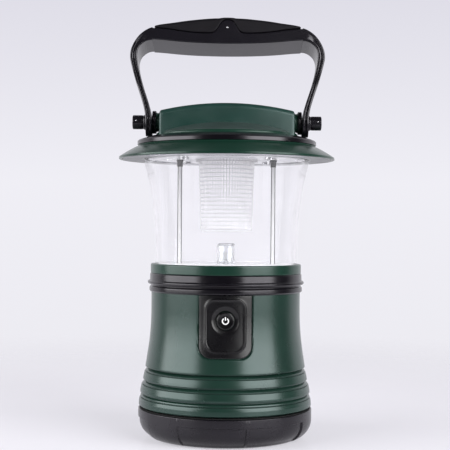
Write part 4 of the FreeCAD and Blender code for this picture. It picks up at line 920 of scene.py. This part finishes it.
# (place across the face from -1 to 1, share of the groove depth)
GROOVE = ((-0.80, 0.0), (-0.70, 0.28), (-0.58, 0.86), (-0.48, 1.0), (0.0, 1.03),
          (0.48, 1.0), (0.58, 0.86), (0.70, 0.28), (0.80, 0.0))


def handle_section(outer, inner, half_depth, outer_round, inner_round, groove=0.0):
    """Outline from the inner face along the front to the outer face, then back behind."""
    thick = math.hypot(outer[0] - inner[0], outer[1] - inner[1])
    step_x, step_u = (outer[0] - inner[0]) / thick, (outer[1] - inner[1]) / thick
    outer_round = min(outer_round, half_depth * 0.9, thick * 0.42)
    inner_round = min(inner_round, half_depth * 0.9, thick * 0.42)

    def corner(radius):
        """(distance in from the face, y), starting on the front."""
        turns = [math.radians(90 * k / 5) for k in range(6)]
        return [(radius * (1 - math.sin(t)), -(half_depth - radius * (1 - math.cos(t))))
                for t in turns]

    start, end = inner_round, thick - outer_round
    middle, half_width = (start + end) / 2, (end - start) / 2
    front = corner(inner_round)[::-1]
    front += [(middle + place * half_width, -half_depth + groove * share)
              for place, share in GROOVE]
    front += [(thick - inset, y) for inset, y in corner(outer_round)]
    points = front + [(along, -y) for along, y in reversed(front)]
    return [(inner[0] + step_x * along, y, inner[1] + step_u * along) for along, y in points]


def arm_sections():
    """Right arm, from the rounded end below the pivot up to the cross bar."""
    outer_x, _, inner_x, _ = ARM[0]
    stations = []
    for k in range(12):
        u = -ARM_END_RADIUS * math.cos(math.radians(90 * k / 12))
        stations.append((outer_x, u, inner_x, u))
    sections = []
    for x1, u1, x0, u0 in stations + spline(ARM, 6):
        u = (u0 + u1) / 2
        half_depth = arm_half_depth(u)
        if u < 0:
            half_depth = max(0.35, math.sqrt(max(0.0, ARM_END_RADIUS ** 2 - u * u)))
        fade = smoothstep(-8.0, -3.0, u1) * (1 - smoothstep(54.0, 59.5, u1))
        sections.append(handle_section((x1, u1), (x0, u0), half_depth, outer_round=0.80,
                                       inner_round=0.70, groove=0.75 * fade))
    return sections


def bar_section(x):
    """Cross bar at x; the underside tips up towards the front."""
    low, high = underside(x), seam(x)
    dip = 0.09 * smoothstep(49.0, 48.3, abs(x))
    points = handle_section((x, high - dip), (x, low), BAR_HALF_DEPTH, outer_round=0.75,
                            inner_round=0.9)
    return [(px, y, u - 0.045 * y * (1 - (u - low) / (high - low))) for px, y, u in points]


def handle_frame():
    right = arm_sections()
    left = [[(-x, y, u) for x, y, u in section] for section in reversed(right)]
    bar = [bar_section(x) for x in mirrored_stations([48.9, 48.6], 150)]
    register(build("handle_bow", moved(loft(right + bar + left), leaned), HANDLE, sharp=50),
             "handle", "handle_frame")


def grip_pad():
    sections = []
    for x in mirrored_stations([47.7, 47.65, 47.5], 150):
        low = seam(x) + 0.40
        # the pad thins at its two ends
        fullness = 0.75 + 0.25 * smoothstep(47.75, 47.3, abs(x))
        high = lerp(low + 0.1, pad_top(x), fullness)
        sections.append(handle_section((x, high), (x, low), half_depth=12.2, outer_round=2.2,
                                       inner_round=0.85))
    register(build("grip_pad_soft", moved(loft(sections), leaned), GRIP, sharp=42),
             "handle", "grip_pad")


def grip_pin():
    """Small pin head in the front of the grip; outline (r, y, corner radius)."""
    outline = soften([(0, -13.0), (0.4, -12.97, 0.15), (0.65, -12.75, 0.15), (0.65, -9.6),
                      (0, -9.6)], 3)
    mesh = moved(turned(outline, 32), lambda x, y, z: leaned(x, z, y + 61.0))
    register(build("grip_pin_head", mesh, CHROME, weighted=False),
             "handle", "grip_pin")


def pivot_knobs():
    """Washers and knobs; outlines (r, distance out from the middle, corner radius)."""
    washer = soften([
        (6.6, 46.15), (7.4, 46.15, 0.15), (7.5, 46.35, 0.1), (7.5, 46.75, 0.1),
        (7.25, 46.9, 0.08), (7.5, 47.05, 0.1), (7.5, 47.45, 0.1), (7.25, 47.6, 0.08),
        (7.5, 47.75, 0.1), (7.5, 48.4, 0.2), (7.2, 48.6, 0.15), (3.0, 48.6), (3.0, 47.4),
        (6.6, 47.4)], 3)
    knob = soften([
        (0, 30.0), (3.0, 30.0, 0.3), (3.0, 52.9), (4.9, 52.9, 0.2), (4.9, 53.9, 0.3),
        (4.45, 54.3, 0.3), (4.45, 55.0, 0.3), (4.6, 55.4, 0.3), (4.6, 61.6, 0.9),
        (3.4, 61.6, 0.2), (3.1, 61.35, 0.1), (0, 61.3)], 4)
    for side, suffix in ((1, "right"), (-1, "left")):
        register(build("pivot_washer_" + suffix, turned_on_pivot(washer, side), BLACK),
                 "handle", "pivot_washers")
        register(build("pivot_knob_head_" + suffix, turned_on_pivot(knob, side, 64), HANDLE),
                 "handle", "pivot_knob_" + suffix)


def knob_pins():
    """A pin from front to back through each knob; outline (r, y, corner radius)."""
    outline = soften([(0, -4.9), (0.35, -4.88, 0.1), (0.55, -4.72, 0.12), (0.55, 4.72, 0.12),
                      (0.35, 4.88, 0.1), (0, 4.9)], 3)
    pin = turned(outline, 24)
    mesh = joined(*(moved(pin, lambda x, y, z: leaned(x + 59.0 * side, z, y))
                    for side in (1, -1)))
    register(build("knob_cross_pins", mesh, STEEL, weighted=False),
             "handle", "knob_pins")


# --------------------------------------------------------- finishes for kept CAD pieces
FINISH = {
    "foot_pads": RUBBER, "base_seal": RUBBER, "gasket_lower": RUBBER, "gasket_upper": RUBBER,
    "tact_switch": SWITCH, "switch_board": BOARD, "board_screws": STEEL,
    "battery_carrier": CARRIER, "battery_cells": CELLS, "battery_springs": SPRING,
    "contact_plates": BRASS, "ceiling_plate": CARRIER, "output_contacts": BRASS,
    "driver_board": BOARD, "board_standoffs": CARRIER, "driver_parts": SWITCH,
    "deck_screws": STEEL, "led_board": ALU, "led_leads": STEEL, "rod_nuts": STEEL,
    "top_reflector": WHITE, "canopy_screws": STEEL, "crown_screws": STEEL,
    "lead_wires": SLEEVE}


def finish_cad_pieces():
    for name, material in FINISH.items():
        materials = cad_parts[name].data.materials
        materials.clear()
        materials.append(material)


# --------------------------------------------------------------- studio, lengths in metres
def floor_material():
    """Pale, faintly glossy floor that fades out with distance from the lantern."""
    material, tree, shader, output = new_material("studio_floor")
    position = add_node(tree, "NewGeometry", {}).outputs["Position"]
    away = add_node(tree, "VectorMath", {0: position}, operation="LENGTH").outputs["Value"]
    fade = soft_step(tree, away, start=0.20, end=0.75)
    vector = coords(tree)
    set_inputs(tree, shader, {
        "Base Color": ramp(tree, noise(tree, vector, scale=6, detail=3),
                           (0.3, (0.415, 0.407, 0.435)), (0.7, (0.430, 0.422, 0.450))),
        "Roughness": ramp(tree, noise(tree, vector, scale=20, detail=3),
                          (0.3, 0.22), (0.7, 0.28)),
        "Specular IOR Level": 0.0,
        "Emission Color": (0.84, 0.828, 0.88, 1),
        "Emission Strength": 0.53})
    gloss = add_node(tree, "BsdfGlossy", {"Color": (0.95, 0.94, 1.0, 1), "Roughness": 0.16})
    sheen = add_node(tree, "MixShader", {0: 0.05, 1: shader.outputs[0], 2: gloss.outputs[0]})
    plain = add_node(tree, "BsdfTransparent", {})
    mix = add_node(tree, "MixShader", {0: fade, 1: sheen.outputs[0], 2: plain.outputs[0]})
    tree.links.new(mix.outputs[0], output.inputs[0])
    return material


def studio_floor():
    radii, seg = (0.2, 0.4, 0.7, 1.1, 1.6, 2.4), 64
    verts = [(0, 0, 0)]
    for radius in radii:
        for k in range(seg):
            t = 2 * math.pi * k / seg
            verts.append((radius * math.cos(t), radius * math.sin(t), 0))
    faces = [(0, 1 + k, 1 + (k + 1) % seg) for k in range(seg)]
    for i in range(len(radii) - 1):
        inner, outer = 1 + i * seg, 1 + (i + 1) * seg
        for k in range(seg):
            m = (k + 1) % seg
            faces.append((inner + k, outer + k, outer + m, inner + m))
    data = bpy.data.meshes.new("studio_floor")
    data.from_pydata(verts, [], faces)
    floor = bpy.data.objects.new("studio_floor", data)
    bpy.context.scene.collection.objects.link(floor)
    data.materials.append(floor_material())


def studio_world():
    world = bpy.data.worlds.new("studio")
    bpy.context.scene.world = world
    world.use_nodes = True
    tree = world.node_tree
    tree.nodes.clear()
    x, y, z = axes(tree, "Generated")
    # the camera sees pale grey-lilac above, nearer white about the horizon
    backdrop = ramp(tree, map_range(tree, z, start=-1, end=1),
                    (0.40, (0.835, 0.828, 0.880)), (0.45, (0.845, 0.838, 0.888)),
                    (0.52, (0.868, 0.860, 0.915)), (0.60, (0.735, 0.725, 0.80)))
    # the object sees a bright wall behind it that stops overhead, two high strips left and
    # right towards the back, and a dark room elsewhere
    wall = compute(tree, "MULTIPLY", soft_step(tree, y, start=0.22, end=0.58),
                   soft_step(tree, z, start=0.70, end=0.40))
    across = compute(tree, "ABSOLUTE", x)
    strips = compute(tree, "MULTIPLY", soft_step(tree, across, start=0.06, end=0.28),
                     soft_step(tree, z, start=0.62, end=0.76))
    strips = compute(tree, "MULTIPLY", strips, soft_step(tree, y, start=0.05, end=0.30))
    strip_strength = 0.55
    bright = compute(tree, "MULTIPLY_ADD", strips, strip_strength, wall)
    room = ramp(tree, bright, (0.0, (0.050, 0.049, 0.055)), (1.0, (0.88, 0.87, 0.92)))
    camera_ray = add_node(tree, "LightPath", {}).outputs["Is Camera Ray"]
    colour = mix_colour(tree, camera_ray, room, backdrop)
    background = add_node(tree, "Background", {0: colour})
    add_node(tree, "OutputWorld", {0: background.outputs[0]})


def softbox(name, azimuth, elevation, distance, width, height, power):
    """Area light aimed at the middle of the lantern; azimuth 0 is in front, + to the right."""
    light = bpy.data.lights.new(name, "AREA")
    light.shape = "RECTANGLE"
    light.size, light.size_y = width, height
    light.energy = power
    ob = bpy.data.objects.new(name, light)
    bpy.context.scene.collection.objects.link(ob)
    turn, rise = math.radians(azimuth), math.radians(elevation)
    target = Vector((0, 0, 0.12))
    direction = Vector((math.sin(turn) * math.cos(rise), -math.cos(turn) * math.cos(rise),
                        math.sin(rise)))
    ob.location = direction * distance + target
    ob.rotation_euler = (-direction).to_track_quat("-Z", "Y").to_euler()


def studio_camera():
    camera = bpy.data.cameras.new("camera")
    camera.sensor_width = 36.0
    camera.lens = 92.0
    camera.shift_x = -0.0026
    camera.shift_y = 0.0053
    ob = bpy.data.objects.new("camera", camera)
    bpy.context.scene.collection.objects.link(ob)
    ob.location = (0.0, -0.752, 0.136)
    ob.rotation_euler = (math.radians(90), math.radians(-0.45), 0)
    bpy.context.scene.camera = ob
    bpy.context.scene.view_settings.view_transform = "Standard"


for make in (battery_base, ribbed_housing, switch_panel, power_button, power_symbol,
             collar, globe_ring, globe, deck, led, support_rods, prism,
             canopy, canopy_rings, crown, handle_frame, grip_pad, grip_pin, pivot_knobs,
             knob_pins, finish_cad_pieces, studio_floor, studio_world):
    make()
softbox("left_box", azimuth=-71, elevation=17, distance=1.3, width=1.55, height=0.95, power=25)
softbox("right_box", azimuth=50, elevation=20, distance=1.3, width=1.25, height=1.1, power=26)
studio_camera()
